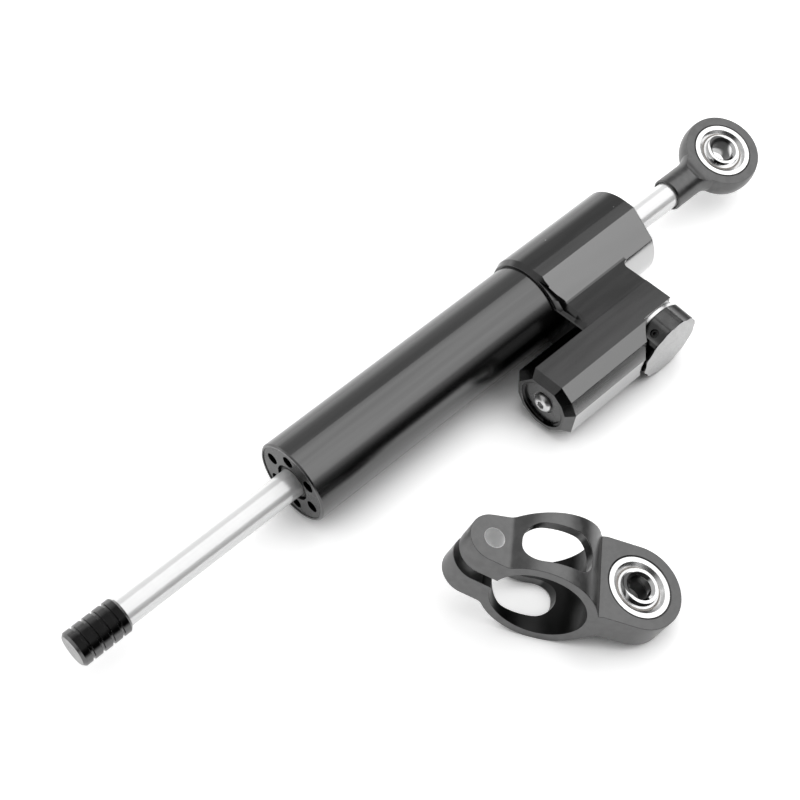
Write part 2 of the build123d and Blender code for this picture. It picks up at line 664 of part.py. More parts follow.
def rod_eye():
    """Forged eye: a round housing that flows into its shank."""
    fillet_r = SHANK_FILLET
    back = math.sqrt((EYE_R + fillet_r) ** 2 - (SHANK_R + fillet_r) ** 2)
    start = EYE_X - back
    share = EYE_R / (EYE_R + fillet_r)
    touch = (EYE_X - share * back, share * (SHANK_R + fillet_r))
    bend = math.atan2(SHANK_R + fillet_r, back) / 2 + math.pi / 4
    middle = (start + fillet_r * math.cos(bend), SHANK_R + fillet_r - fillet_r * math.sin(bend))
    straight = Polyline(
        (touch[0], 0), (SHANK_X, 0), (SHANK_X, SHANK_R - SHANK_EDGE),
        (SHANK_X + SHANK_EDGE, SHANK_R), (start, SHANK_R),
    )
    flare = ThreePointArc((start, SHANK_R), middle, touch)
    close = Line(touch, (touch[0], 0))
    neck = revolve(Plane.XZ * make_face(straight.edges() + flare.edges() + close.edges()), Axis.X)
    half = EYE_THICK / 2
    rise = SHANK_R - half + RUNOUT_RISE
    run = math.sqrt(RUNOUT_R ** 2 - (RUNOUT_R - rise) ** 2)
    face_from = EYE_X - EYE_R + RUNOUT_IN
    block = Polyline(
        (face_from, half), (EYE_X + EYE_R, half), (EYE_X + EYE_R, 2 * SHANK_R),
        (face_from - run, 2 * SHANK_R), (face_from - run, half + rise),
    )
    turn = math.asin(run / RUNOUT_R) / 2
    curve = ThreePointArc(
        (face_from - run, half + rise),
        (face_from - RUNOUT_R * math.sin(turn), half + RUNOUT_R * (1 - math.cos(turn))),
        (face_from, half),
    )
    cheek = Plane.XZ * make_face(block.edges() + curve.edges())
    shave = extrude(cheek, 2 * EYE_R, both=True)
    neck -= shave
    neck -= mirror(shave, Plane.XY)
    swell = ThreePointArc((EYE_R, -half), (EYE_R + EYE_BULGE, 0), (EYE_R, half))
    flat = Polyline((EYE_R, half), (0, half), (0, -half), (EYE_R, -half))
    housing = revolve(Plane.XZ * make_face(swell.edges() + flat.edges()), Axis.Z)
    eye = neck + Pos(EYE_X, 0, 0) * housing
    eye -= Pos(EYE_X, 0, 0) * Rot(0, -90, 0) * housing_bore(EYE_THICK / 2, EYE_THICK / 2)
    eye -= tube(SHANK_X, SHANK_X + ROD_IN_EYE + END_PLAY, ROD_R + SEAT)
    eye -= tube(SHANK_X, SHANK_X + MOUTH_DEEP, MOUTH_R)
    return eye.rotate(Axis.X, EYE_ROLL)


def housing_bore(above, below):
    """Cutter for a race, with the staked edge round both mouths."""
    radius = RACE_R + SEAT
    return turned([
        (-below, 0), (-below, radius + STAKE), (-below + STAKE, radius),
        (above - STAKE, radius), (above, radius + STAKE), (above, 0),
    ])


def sphere_arc(radius, half, bulge_first):
    """Arc of a sphere's outline between minus and plus half, as (x, radius) points."""
    edge = math.sqrt(radius ** 2 - half ** 2)
    first, last = ((-half, edge), (half, edge)) if bulge_first else ((half, edge), (-half, edge))
    return ThreePointArc(first, (0, radius), last)


def race():
    """Outer ring of a spherical bearing with coned mouths."""
    seat = PIVOT_R + SLIDE + LINER_THICK + SEAT
    half = RACE_WIDE / 2
    arc = sphere_arc(seat, LINER_HALF, True)
    edge = math.sqrt(seat ** 2 - LINER_HALF ** 2)
    outline = Polyline(
        (LINER_HALF, edge), (half, RACE_MOUTH_R), (half, RACE_R), (-half, RACE_R),
        (-half, RACE_MOUTH_R), (-LINER_HALF, edge),
    )
    return revolve(Plane.XZ * make_face(arc.edges() + outline.edges()), Axis.X)


def liner():
    """Thin woven liner between ball and race."""
    inner = PIVOT_R + SLIDE
    outer = inner + LINER_THICK
    low = math.sqrt(inner ** 2 - LINER_HALF ** 2)
    high = math.sqrt(outer ** 2 - LINER_HALF ** 2)
    inside = sphere_arc(inner, LINER_HALF, True)
    outside = sphere_arc(outer, LINER_HALF, False)
    left = Line((-LINER_HALF, high), (-LINER_HALF, low))
    right = Line((LINER_HALF, low), (LINER_HALF, high))
    edges = inside.edges() + right.edges() + outside.edges() + left.edges()
    return revolve(Plane.XZ * make_face(edges), Axis.X)


def pivot_ball():
    """Ball of a spherical bearing, bored for its bolt."""
    half = PIVOT_WIDE / 2
    edge = math.sqrt(PIVOT_R ** 2 - half ** 2)
    arc = sphere_arc(PIVOT_R, half, True)
    outline = Polyline(
        (half, edge), (half, BOLT_R + BOLT_CHAMFER), (half - BOLT_CHAMFER, BOLT_R),
        (BOLT_CHAMFER - half, BOLT_R), (-half, BOLT_R + BOLT_CHAMFER), (-half, edge),
    )
    return revolve(Plane.XZ * make_face(arc.edges() + outline.edges()), Axis.X)


def ring_groove(middle, outer):
    """Cutter for a sealing ring's groove in the outside of a round piece."""
    half = RING_GROOVE_HALF
    return tube(middle - half, middle + half, 2 * outer, outer - RING_GROOVE_DEEP)


def reservoir_cap():
    """Disc that closes the reservoir, with a ring groove and a screw pocket."""
    outer = RES_BORE_R - SEAT
    pocket_deep = BUTTON_HIGH - BUTTON_PROUD
    cap = chamfered_tube(CAP_FACE, CAP_BACK, outer, BUTTON_SHANK_R + SEAT, BREAK)
    cap -= tube(CAP_FACE, CAP_FACE + pocket_deep, BUTTON_POCKET_R)
    return on_reservoir(cap - ring_groove((CAP_FACE + CAP_BACK) / 2 + CAP_GROOVE_BACK, outer))


def cap_o_ring():
    middle = (CAP_FACE + CAP_BACK) / 2 + CAP_GROOVE_BACK
    return on_reservoir(o_ring(middle, RES_BORE_R - RING_GROOVE_DEEP, RES_BORE_R - SEAT / 2))


def cap_circlip():
    x0 = CAP_FACE - CAP_CLIP_THICK - END_PLAY / 2
    outer = RES_BORE_R + CAP_CLIP_BITE - SLIDE
    clip = snap_ring(x0, x0 + CAP_CLIP_THICK, outer, CAP_CLIP_IN_R, CAP_CLIP_GAP)
    return on_reservoir(clip.rotate(Axis.X, CAP_CLIP_TURN))


def hexagon(across):
    return RegularPolygon(across / 2, 6, major_radius=False)


def cap_screw():
    """Button head screw that plugs the filling hole."""
    seat = CAP_FACE + BUTTON_HIGH - BUTTON_PROUD
    top = seat - BUTTON_HIGH
    rim = seat - BUTTON_RIM
    halfway = ((rim + top) / 2, (BUTTON_R + BUTTON_TOP_R) / 2)
    square = math.hypot(BUTTON_R - BUTTON_TOP_R, rim - top)
    shoulder = (
        halfway[0] - BUTTON_BULGE * (BUTTON_R - BUTTON_TOP_R) / square,
        halfway[1] + BUTTON_BULGE * (rim - top) / square,
    )
    crown = ThreePointArc((rim, BUTTON_R), shoulder, (top, BUTTON_TOP_R))
    shank_end = CAP_BACK + BUTTON_BEYOND
    outline = Polyline(
        (top, BUTTON_TOP_R), (top, 0), (shank_end, 0), (shank_end, BUTTON_SHANK_R - BREAK),
        (shank_end - BREAK, BUTTON_SHANK_R), (seat - SEAT, BUTTON_SHANK_R),
        (seat - SEAT, BUTTON_R), (rim, BUTTON_R),
    )
    screw = revolve(Plane.XZ * make_face(crown.edges() + outline.edges()), Axis.X)
    socket = extrude(Plane.YZ.offset(top) * hexagon(HEX_ACROSS), HEX_DEEP, dir=(1, 0, 0))
    return on_reservoir(screw - socket)


def float_front():
    return CAP_BACK + FLOAT_GAP


def compensator_piston():
    """Floating cup between the gas and the oil."""
    x0 = float_front()
    x1 = x0 + FLOAT_LONG
    outer = RES_BORE_R - SLIDE
    cup = chamfered_tube(x0, x1, outer, 0, BREAK)
    cup -= tube(x0, x0 + FLOAT_CUP_DEEP, outer - 2 * FLOAT_WALL)
    return on_reservoir(cup - ring_groove((x0 + x1) / 2, outer))


def compensator_o_ring():
    middle = float_front() + FLOAT_LONG / 2
    outer = RES_BORE_R - SLIDE
    return on_reservoir(o_ring(middle, outer - RING_GROOVE_DEEP + SEAT, RES_BORE_R - SEAT))


def valve_bonnet():
    """Flanged bush that closes the valve chamber and carries the spindle."""
    bore_r = SPINDLE_R + SLIDE
    bonnet = tube(CHAMBER_OUT, BOSS_FACE + FLANGE_THICK, BONNET_R, bore_r)
    bonnet += chamfered_tube(BOSS_FACE, BOSS_FACE + FLANGE_THICK, FLANGE_R, bore_r, FINE_BREAK)
    bonnet -= ring_groove(BONNET_RING_AT, BONNET_R)
    return on_valve(bonnet - click_cutter())


def bonnet_o_ring():
    return on_valve(o_ring(BONNET_RING_AT, BONNET_R - RING_GROOVE_DEEP + SEAT, BONNET_R + SEAT / 2))


def adjuster_spindle():
    """Spindle that carries the knob and screws the needle in and out."""
    shoulder = NEEDLE_IN + NEEDLE_LONG + NEEDLE_TRAVEL + 2 * END_PLAY
    stub = NEEDLE_IN + STUB_UP
    collar = CHAMBER_OUT - 2 * END_PLAY
    spindle = turned([
        (stub, 0), (stub, STUB_R), (shoulder, STUB_R), (shoulder, SPINDLE_R),
        (collar - COLLAR_THICK, SPINDLE_R), (collar - COLLAR_THICK, COLLAR_R), (collar, COLLAR_R),
        (collar, SPINDLE_R), (SPINDLE_TOP, SPINDLE_R), (SPINDLE_TOP, 0),
    ])
    spindle -= tube(
        SPINDLE_RING_AT - SPINDLE_GROOVE_HALF, SPINDLE_RING_AT + SPINDLE_GROOVE_HALF,
        2 * SPINDLE_R, SPINDLE_R - SPINDLE_GROOVE_DEEP,
    )
    return on_valve(spindle)


def spindle_o_ring():
    inner = SPINDLE_R - SPINDLE_GROOVE_DEEP + SEAT
    return on_valve(o_ring(SPINDLE_RING_AT, inner, SPINDLE_R + SLIDE / 2))


def needle_valve():
    """Needle that slides on its guide pin and throttles the seat."""
    end = NEEDLE_IN + NEEDLE_LONG
    tip = NEEDLE_IN - NEEDLE_TIP_LONG
    bore = NEEDLE_IN + STUB_UP - NEEDLE_TRAVEL - 2 * END_PLAY
    needle = turned([
        (tip, 0), (tip, NEEDLE_TIP_R), (NEEDLE_IN, SEAT_R - END_PLAY),
        (NEEDLE_IN, NEEDLE_R - FINE_BREAK), (NEEDLE_IN + FINE_BREAK, NEEDLE_R), (end, NEEDLE_R),
        (end, STUB_R + SLIDE), (bore, STUB_R + SLIDE), (bore, 0),
    ])
    keyway = Pos(0, 0, GUIDE_OUT) * tube(NEEDLE_IN - GUIDE_R, end + GUIDE_R, GUIDE_R + END_PLAY)
    return on_valve(needle - keyway)


def needle_guide_pin():
    pin = Pos(0, 0, GUIDE_OUT) * tube(CHAMBER_IN + SEAT, CHAMBER_IN + GUIDE_LONG, GUIDE_R)
    return on_valve(pin)


def detent_ball():
    top = BOSS_FACE + FLANGE_THICK
    return on_valve(Pos(top - BALL_R, 0, -CLICK_R) * Sphere(BALL_R))


def detent_spring():
    x0 = BOSS_FACE - CLICK_HOLE_LONG + SEAT
    x1 = BOSS_FACE + FLANGE_THICK - 2 * BALL_R - SEAT
    outer = BALL_R - END_PLAY
    return on_valve(Pos(0, 0, -CLICK_R) * tube(x0, x1, outer, outer - SPRING_WALL))


def flute_cutter():
    """One shallow scallop of the knob, as a long round cutter."""
    chord = KNOB_R * math.cos(math.pi / KNOB_FLUTES)
    centre = chord - FLUTE_DEEP + FLUTE_R + (KNOB_R - chord)
    return Pos(0, 0, centre) * tube(KNOB_IN - FLUTE_DEEP, KNOB_OUT + FLUTE_DEEP, FLUTE_R)


def set_screw_axis(shape):
    """Place a piece drawn along X on the radial axis of the set screw."""
    middle = Pos((KNOB_IN + KNOB_OUT) / 2, 0, 0)
    return middle * Rot(SET_SCREW_ANGLE, 0, 0) * Rot(0, -90, 0) * shape


def adjuster_knob():
    """Fluted knob with click dimples on its inner face."""
    knob = chamfered_tube(KNOB_IN, KNOB_OUT, KNOB_R, 0, KNOB_EDGE)
    flute = flute_cutter()
    for i in range(KNOB_FLUTES):
        knob -= flute.rotate(Axis.X, SET_SCREW_ANGLE + 360 / KNOB_FLUTES * i)
    dimple = turned([(KNOB_IN, 0), (KNOB_IN, CLICK_DEEP), (KNOB_IN + CLICK_DEEP, 0)])
    dimple = Pos(0, 0, -CLICK_R) * dimple
    for i in range(CLICKS):
        knob -= dimple.rotate(Axis.X, 360 / CLICKS * i)
    knob -= tube(KNOB_IN, SPINDLE_TOP + END_PLAY, SPINDLE_R + SEAT)
    knob -= set_screw_axis(tube(0, 2 * KNOB_R, SET_SCREW_R + SEAT))
    return on_valve(knob)


def knob_set_screw():
    start = SPINDLE_R + SEAT
    end = start + SET_SCREW_LONG
    screw = chamfered_tube(start, end, SET_SCREW_R, 0, FINE_BREAK)
    floor = Plane.YZ.offset(end - SET_SCREW_SOCKET)
    socket = extrude(floor * hexagon(SET_SCREW_HEX), SET_SCREW_SOCKET, dir=(1, 0, 0))
    return on_valve(set_screw_axis(screw - socket))


def clamp_slope():
    """Slope at which the clamp rests, on its ring and on the far edge of its boss."""
    reach = BOSS_U + BOSS_PLAN_R
    return math.asin(CLAMP_R / math.hypot(reach, BOSS_BOTTOM)) - math.atan2(-BOSS_BOTTOM, reach)


def clamp_place():
    turn = math.radians(CLAMP_TURN)
    slope = clamp_slope()
    u = (math.cos(turn) * math.cos(slope), math.sin(turn) * math.cos(slope), -math.sin(slope))
    n = (math.cos(turn) * math.sin(slope), math.sin(turn) * math.sin(slope), math.cos(slope))
    return Plane(origin=(CLAMP_X, CLAMP_Y, FLOOR + CLAMP_R), x_dir=u, z_dir=n).location


def clamp_plan():
    """Outline from above: a round ear, sides that taper, and the round boss."""
    slope = math.atan(CLAMP_TAPER)
    ear_r = (CLAMP_HALF + CLAMP_TAPER * EAR_U) * math.cos(slope)
    side = [
        (EAR_U - ear_r * math.sin(slope), ear_r * math.cos(slope)),
        ((BOSS_PLAN_R - CLAMP_HALF) / CLAMP_TAPER, BOSS_PLAN_R), (BOSS_U, BOSS_PLAN_R),
    ]
    other = [(u, -w) for u, w in reversed(side)]
    plan = make_face(Polyline(*side, *other, close=True))
    return plan + Pos(EAR_U, 0) * Circle(ear_r) + Pos(BOSS_U, 0) * Circle(BOSS_PLAN_R)


def clamp_side():
    """Outline from the side: ring, ears and the thinner boss with its valley."""
    def ring_height(u):
        return math.sqrt(CLAMP_R ** 2 - u ** 2)

    crest = VALLEY_U - VALLEY_WIDE
    far = BOSS_U + 2 * BOSS_PLAN_R
    boss = make_face(Polyline(
        (0, 0), (crest, ring_height(crest)), (VALLEY_U, VALLEY_N), (VALLEY_U + VALLEY_WIDE / 2, BOSS_TOP),
        (far, BOSS_TOP), (far, BOSS_BOTTOM), (HEEL_TO, BOSS_BOTTOM),
        (HEEL_FROM, -ring_height(HEEL_FROM)), close=True,
    ))
    ears = Pos(1.5 * EAR_U, 0) * Rectangle(-EAR_U, 2 * EAR_HALF_HIGH)
    root = math.sqrt(CLAMP_R ** 2 - EAR_HALF_HIGH ** 2)
    ears += Pos(-root, 0) * Rectangle(root, 2 * EAR_HALF_HIGH)
    side = Circle(CLAMP_R) + boss + ears
    roots = [Vector(-root, n, 0) for n in (EAR_HALF_HIGH, -EAR_HALF_HIGH)]
    near = [side.vertices().sort_by_distance(v)[0] for v in roots]
    return fillet(near, EAR_FILLET)


def on_clamp(shape):
    return clamp_place() * shape


def on_clamp_bearing(shape):
    """Place a piece drawn along X on the axis of the clamp's bearing."""
    middle = BOSS_TOP - RACE_SUNK - RACE_WIDE / 2
    return on_clamp(Pos(BOSS_U, 0, middle) * Rot(0, -90, 0) * shape)


def clamp_body():
    """Split ring with two ears and a boss, lightened by a window above and below."""
    tall = 3 * CLAMP_R
    body = extrude(clamp_plan(), tall, both=True)
    body &= extrude(Plane.XZ * clamp_side(), tall, both=True)
    body -= Rot(0, 0, 90) * tube(-tall, tall, CLAMP_BORE_R)
    window = RectangleRounded(WINDOW_TO - WINDOW_FROM, 2 * WINDOW_HALF, WINDOW_CORNER)
    body -= extrude(Pos((WINDOW_FROM + WINDOW_TO) / 2, 0) * window, tall, both=True)
    slit = SLIT_TOP - SLIT_BOTTOM
    body -= Pos(1.5 * EAR_U, 0, (SLIT_TOP + SLIT_BOTTOM) / 2) * Box(-2 * EAR_U, tall, slit)
    body -= Pos(EAR_U, 0, 0) * Cylinder(EAR_HOLE_R, tall)
    above = RACE_WIDE / 2 + RACE_SUNK
    middle = BOSS_TOP - above
    seat = turned([
        (-RACE_WIDE / 2 - SEAT, 0), (-RACE_WIDE / 2 - SEAT, RACE_R + SEAT),
        (above - STAKE, RACE_R + SEAT), (above, RACE_R + SEAT + STAKE), (above, 0),
    ])
    body -= Pos(BOSS_U, 0, middle) * Rot(0, -90, 0) * seat
    body -= Pos(BOSS_U, 0, 0) * Cylinder(RACE_MOUTH_R + THROAT, tall)
    return on_clamp(body)


PIECES = {
    "barrel_tube": barrel_tube,
    "head_block": head_block,
    "front_gland": front_gland,
    "front_wiper": front_wiper,
    "front_seal": front_seal,
    "front_bush": front_bush,
    "gland_o_ring": gland_o_ring,
    "head_o_ring": head_o_ring,
    "rear_bush": rear_bush,
    "rear_seal": rear_seal,
    "rear_circlip": rear_circlip,
    "rear_wiper": rear_wiper,
    "reservoir_cap": reservoir_cap,
    "cap_o_ring": cap_o_ring,
    "cap_circlip": cap_circlip,
    "cap_screw": cap_screw,
    "valve_bonnet": valve_bonnet,
    "bonnet_o_ring": bonnet_o_ring,
    "needle_guide_pin": needle_guide_pin,
    "detent_ball": detent_ball,
    "detent_spring": detent_spring,
    "piston": piston,
    "piston_ring": piston_ring,
    "rod": rod,
    "piston_circlips": piston_circlips,
    "rod_end_grip": rod_end_grip,
    "rod_eye": rod_eye,
    "eye_race": lambda: on_eye(race()),
    "eye_liner": lambda: on_eye(liner()),
    "eye_ball": lambda: on_eye(pivot_ball()),
    "adjuster_knob": adjuster_knob,
    "knob_set_screw": knob_set_screw,
    "adjuster_spindle": adjuster_spindle,
    "spindle_o_ring": spindle_o_ring,
    "needle_valve": needle_valve,
    "compensator_piston": compensator_piston,
    "compensator_o_ring": compensator_o_ring,
    "clamp_body": clamp_body,
    "clamp_race": lambda: on_clamp_bearing(race()),
    "clamp_liner": lambda: on_clamp_bearing(liner()),
    "clamp_ball": lambda: on_clamp_bearing(pivot_ball()),
}

os.makedirs("parts", exist_ok=True)
for name, make in PIECES.items():
    export_step(make(), f"parts/{name}.step")
front_room = clip_places()[0] - GLAND_END
rear_room = BARREL_END - clip_places()[1] - CLIP_THICK
print("lean of the block", round(BLOCK_LEAN, 3))
print("slope of the clamp", round(math.degrees(clamp_slope()), 3))
print("room for the piston, front and rear", round(front_room, 2), round(rear_room, 2))
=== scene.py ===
# %% [markdown]
# # Dressing a steering damper
# A steering damper is an oil-filled strut that calms the handlebar of a motorcycle. Its shape comes
# from a CAD model. Here it gets its camera, light, finishes and the small pieces that CAD left plain.
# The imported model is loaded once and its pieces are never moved, so every finish is made around it.

import json
import math

import bmesh
import bpy
from mathutils import Matrix, Vector


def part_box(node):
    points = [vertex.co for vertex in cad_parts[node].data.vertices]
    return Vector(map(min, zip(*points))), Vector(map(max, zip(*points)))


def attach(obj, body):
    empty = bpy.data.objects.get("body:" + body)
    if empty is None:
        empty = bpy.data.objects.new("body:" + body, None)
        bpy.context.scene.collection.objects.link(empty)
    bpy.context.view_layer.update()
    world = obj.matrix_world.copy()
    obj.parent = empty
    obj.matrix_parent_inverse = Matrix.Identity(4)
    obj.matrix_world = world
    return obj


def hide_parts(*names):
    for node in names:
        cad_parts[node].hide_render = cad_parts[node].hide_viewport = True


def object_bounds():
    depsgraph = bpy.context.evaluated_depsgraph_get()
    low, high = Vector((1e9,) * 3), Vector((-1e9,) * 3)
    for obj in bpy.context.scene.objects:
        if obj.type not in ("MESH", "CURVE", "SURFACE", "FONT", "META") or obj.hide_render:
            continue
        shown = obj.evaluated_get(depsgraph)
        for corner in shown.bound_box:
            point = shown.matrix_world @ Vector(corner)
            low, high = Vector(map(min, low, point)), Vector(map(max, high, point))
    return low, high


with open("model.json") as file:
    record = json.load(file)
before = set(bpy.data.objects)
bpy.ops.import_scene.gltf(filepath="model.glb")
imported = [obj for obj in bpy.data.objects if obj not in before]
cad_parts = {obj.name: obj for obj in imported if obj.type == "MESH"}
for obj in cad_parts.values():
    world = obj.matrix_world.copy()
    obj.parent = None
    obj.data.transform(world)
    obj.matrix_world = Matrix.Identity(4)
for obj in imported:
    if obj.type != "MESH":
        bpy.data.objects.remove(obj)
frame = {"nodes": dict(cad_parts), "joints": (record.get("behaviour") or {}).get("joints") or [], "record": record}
nodes = frame["nodes"]
cad_low, cad_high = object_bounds()
MM = 0.001
print("CAD pieces", len(nodes), "size in mm", [round(painted_side_tone / MM, 1) for painted_side_tone in cad_high - cad_low])

# %% [markdown]
# ## The camera
# The damper was photographed from high on its left, with a lens long enough to keep the barrel
# straight. Two angles and a place fix such a camera. They were worked out from the rims and edges
# in the picture, and are written down here as numbers, so nothing has to be fitted again.

# %% Camera
CAMERA_TURN = math.radians(-43.67)
CAMERA_RISE = math.radians(53.45)
CAMERA_PLACE = Vector((-0.2354, -0.2404, 0.4483))
CAMERA_LENS = 75.6
SENSOR_WIDTH = 36.0
CLIP_NEAR = 0.01
CLIP_FAR = 60.0

towards_camera = Vector((
    math.sin(CAMERA_TURN) * math.cos(CAMERA_RISE),
    -math.cos(CAMERA_TURN) * math.cos(CAMERA_RISE),
    math.sin(CAMERA_RISE),
))
camera_data = bpy.data.cameras.new("portrait_camera")
camera_data.lens = CAMERA_LENS
camera_data.sensor_width = SENSOR_WIDTH
camera_data.clip_start = CLIP_NEAR
camera_data.clip_end = CLIP_FAR
camera = bpy.data.objects.new("portrait_camera", camera_data)
camera.location = CAMERA_PLACE
camera.rotation_euler = (-towards_camera).to_track_quat("-Z", "Y").to_euler()
bpy.context.scene.collection.objects.link(camera)
bpy.context.scene.camera = camera
bpy.context.scene.view_settings.view_transform = "Standard"
print("camera at", [round(x, 3) for x in camera.location])

# %% [markdown]
# ## Helpers for node trees
# A material is a tree of nodes, and written out in full it hides what it says. `add` makes a node,
# sets it and fills its sockets in one line. A socket given as a value is linked, anything else is
# set as a number. The Mix node keeps sockets for numbers, vectors and colours side by side, so its
# colour sockets are found by their places, which have names here.

# %% Node helpers
MIX_SHARE, MIX_FIRST, MIX_SECOND = 0, 6, 7
MIX_RESULT = 2


def fill(tree, node, inputs):
    for key, value in inputs.items():
        if isinstance(value, bpy.types.NodeSocket):
            tree.links.new(value, node.inputs[key])
        else:
            node.inputs[key].default_value = value


def add(tree, kind, inputs=None, **settings):
    node = tree.nodes.new("ShaderNode" + kind)
    for key, value in settings.items():
        setattr(node, key, value)
    fill(tree, node, inputs or {})
    return node


def mix_colour(tree, share, first, second):
    inputs = {MIX_SHARE: share, MIX_FIRST: first, MIX_SECOND: second}
    return add(tree, "Mix", inputs, data_type="RGBA").outputs[MIX_RESULT]


def grey(level, warmth=0.0):
    return (level * (1 + warmth), level, level * (1 - warmth), 1.0)


print("node helpers ready")

# %% [markdown]
# ## Helpers for arithmetic
# Masks are small sums on places and directions. Each step is a node of its own, and a short name for
# it lets a mask be read like a formula. `ramp` fades smoothly from one value to another, also
# downwards when its start is larger than its end.

# %% Arithmetic helpers
def calc(tree, operation, *values):
    return add(tree, "Math", dict(enumerate(values)), operation=operation).outputs["Value"]


def ramp(tree, value, start, end, low=0.0, high=1.0):
    inputs = {"Value": value, "From Min": start, "From Max": end, "To Min": low, "To Max": high}
    return add(tree, "MapRange", inputs, interpolation_type="SMOOTHSTEP").outputs["Result"]


def vector_calc(tree, operation, *vectors):
    return add(tree, "VectorMath", dict(enumerate(vectors)), operation=operation).outputs["Vector"]


def dot(tree, first, second):
    return add(tree, "VectorMath", {0: first, 1: second}, operation="DOT_PRODUCT").outputs["Value"]


def length(tree, vector):
    return add(tree, "VectorMath", {0: vector}, operation="LENGTH").outputs["Value"]


def from_x_axis(tree, place):
    """Distance of a point from the X axis."""
    return length(tree, vector_calc(tree, "MULTIPLY", place, (0, 1, 1)))


print("arithmetic helpers ready")

# %% [markdown]
# ## The floor
# The damper lies on white paper, so wide that the camera doesn't see its end. A flat grid a hair
# below the lowest piece stands for it. It isn't part of the object.

# %% Floor
FLOOR_HALF = 15.0
FLOOR_GAP = 0.02 * MM

bm = bmesh.new()
bmesh.ops.create_grid(bm, x_segments=1, y_segments=1, size=FLOOR_HALF)
bmesh.ops.translate(bm, verts=bm.verts, vec=(0, 0, cad_low.z - FLOOR_GAP))
floor_mesh = bpy.data.meshes.new("studio_floor")
bm.to_mesh(floor_mesh)
bm.free()
floor = bpy.data.objects.new("studio_floor", floor_mesh)
bpy.context.scene.collection.objects.link(floor)
print("floor at", round(floor_mesh.vertices[0].co.z / MM, 2), "mm")

# %% [markdown]
# ### White paper
# Plain white paint under soft light comes out a little grey. More light would burn out the object,
# so the floor glows faintly instead, for rays from the camera and for reflections alone. An Ambient
# Occlusion node takes the glow away in narrow gaps, where no light gets in. The contact shadows stay
# deep, and the wide ones soft.

# %% Floor finish
FLOOR_GLOW = 0.55
FLOOR_PAINT = 0.88
GAP_REACH = 20.0 * MM
GAP_SHUT = 0.2
GAP_OPEN = 0.8

floor_finish = bpy.data.materials.new("white_paper")
floor_finish.use_nodes = True
tree = floor_finish.node_tree
tree.nodes.clear()
light_path = add(tree, "LightPath")
seen = calc(tree, "MAXIMUM", light_path.outputs["Is Camera Ray"], light_path.outputs["Is Glossy Ray"])
seen = calc(tree, "MAXIMUM", seen, light_path.outputs["Is Transmission Ray"])
openness = add(tree, "AmbientOcclusion", {"Distance": GAP_REACH}, samples=8).outputs["AO"]
openness = ramp(tree, openness, GAP_SHUT, GAP_OPEN, 0.0, FLOOR_GLOW)
glow = add(tree, "Emission", {"Strength": calc(tree, "MULTIPLY", seen, openness)})
paint = add(tree, "BsdfDiffuse", {"Color": grey(FLOOR_PAINT)})
both = add(tree, "AddShader", {0: paint.outputs[0], 1: glow.outputs[0]})
add(tree, "OutputMaterial", {"Surface": both.outputs[0]})
floor_mesh.materials.append(floor_finish)
print("floor glows", FLOOR_GLOW, "and reflects", FLOOR_PAINT)

# %% [markdown]
# ## The light
# Black anodised metal shows almost nothing of its own colour: what one sees is the studio mirrored
# in it. So the studio is the real paint here. One wide softbox hangs overhead to the right and leans
# to the front. It is a square area lamp, and its power is worked out from how bright its face looks,
# because that is what the metal mirrors.

# %% Softbox
SOFTBOX_SIDE = 1.74
SOFTBOX_AWAY = 1.0
SOFTBOX_LEAN = math.radians(16.0)
SOFTBOX_GLOW = 1.0
SOFTBOX_ALONG = 0.87


def area_light(name, painted_side_tone, glow, place, aim):
    """A square lamp that the camera doesn't see, with a face as bright as a surface of strength glow."""
    data = bpy.data.lights.new(name, "AREA")
    data.shape = "SQUARE"
    data.size = painted_side_tone
    data.energy = glow * math.pi * painted_side_tone ** 2
    lamp = bpy.data.objects.new(name, data)
    lamp.location = place
    lamp.rotation_euler = aim.to_track_quat("-Z", "Y").to_euler()
    lamp.visible_camera = False
    bpy.context.scene.collection.objects.link(lamp)
    print(name, "of", round(data.energy, 1), "W")
    return lamp


upwards = Vector((0, -math.sin(SOFTBOX_LEAN), math.cos(SOFTBOX_LEAN)))
softbox_place = upwards * SOFTBOX_AWAY + Vector((SOFTBOX_ALONG, 0, 0))
area_light("softbox", SOFTBOX_SIDE, SOFTBOX_GLOW, softbox_place, -upwards)

# %% [markdown]
# ### The light at the back
# The shadows in the photograph fall to the front, so a second lamp stands behind. It would put
# another bright patch on the metal, and is hidden from reflections, which have enough.

# %% Back light
BACK_LIGHT_SIDE = 1.2
BACK_LIGHT_PLACE = Vector((0.42, 0.72, 0.86))
BACK_LIGHT_GLOW = 0.6

back_light = area_light(
    "back_light", BACK_LIGHT_SIDE, BACK_LIGHT_GLOW, BACK_LIGHT_PLACE, -BACK_LIGHT_PLACE,
)
back_light.visible_glossy = False

# %% [markdown]
# ### The room
# Walls and curtains round a photo table could be modelled, but all that the metal needs of them is how
# bright each direction is. So the room is the world, with a level that depends on the direction. The
# room behind the damper is bright, most of all near the horizon. In front it is dark near the
# horizon and on the camera's side, which draws the black band along the barrel and blackens every
# chamfer that faces the camera.

# %% Room
TOP_LEVEL = 0.80
BACK_LEVEL = 2.20
BACK_HIGH_LEVEL = 0.66
DARK_SIDE = 0.04
BACK_WALL_FADE = (0.0, 0.4)
FRONT_WALL_FADE = (0.1, 0.6)
LEFT_TO_RIGHT_FADE = (-0.3, 0.15)
BACK_TO_FRONT_FADE = (0.1, -0.3)

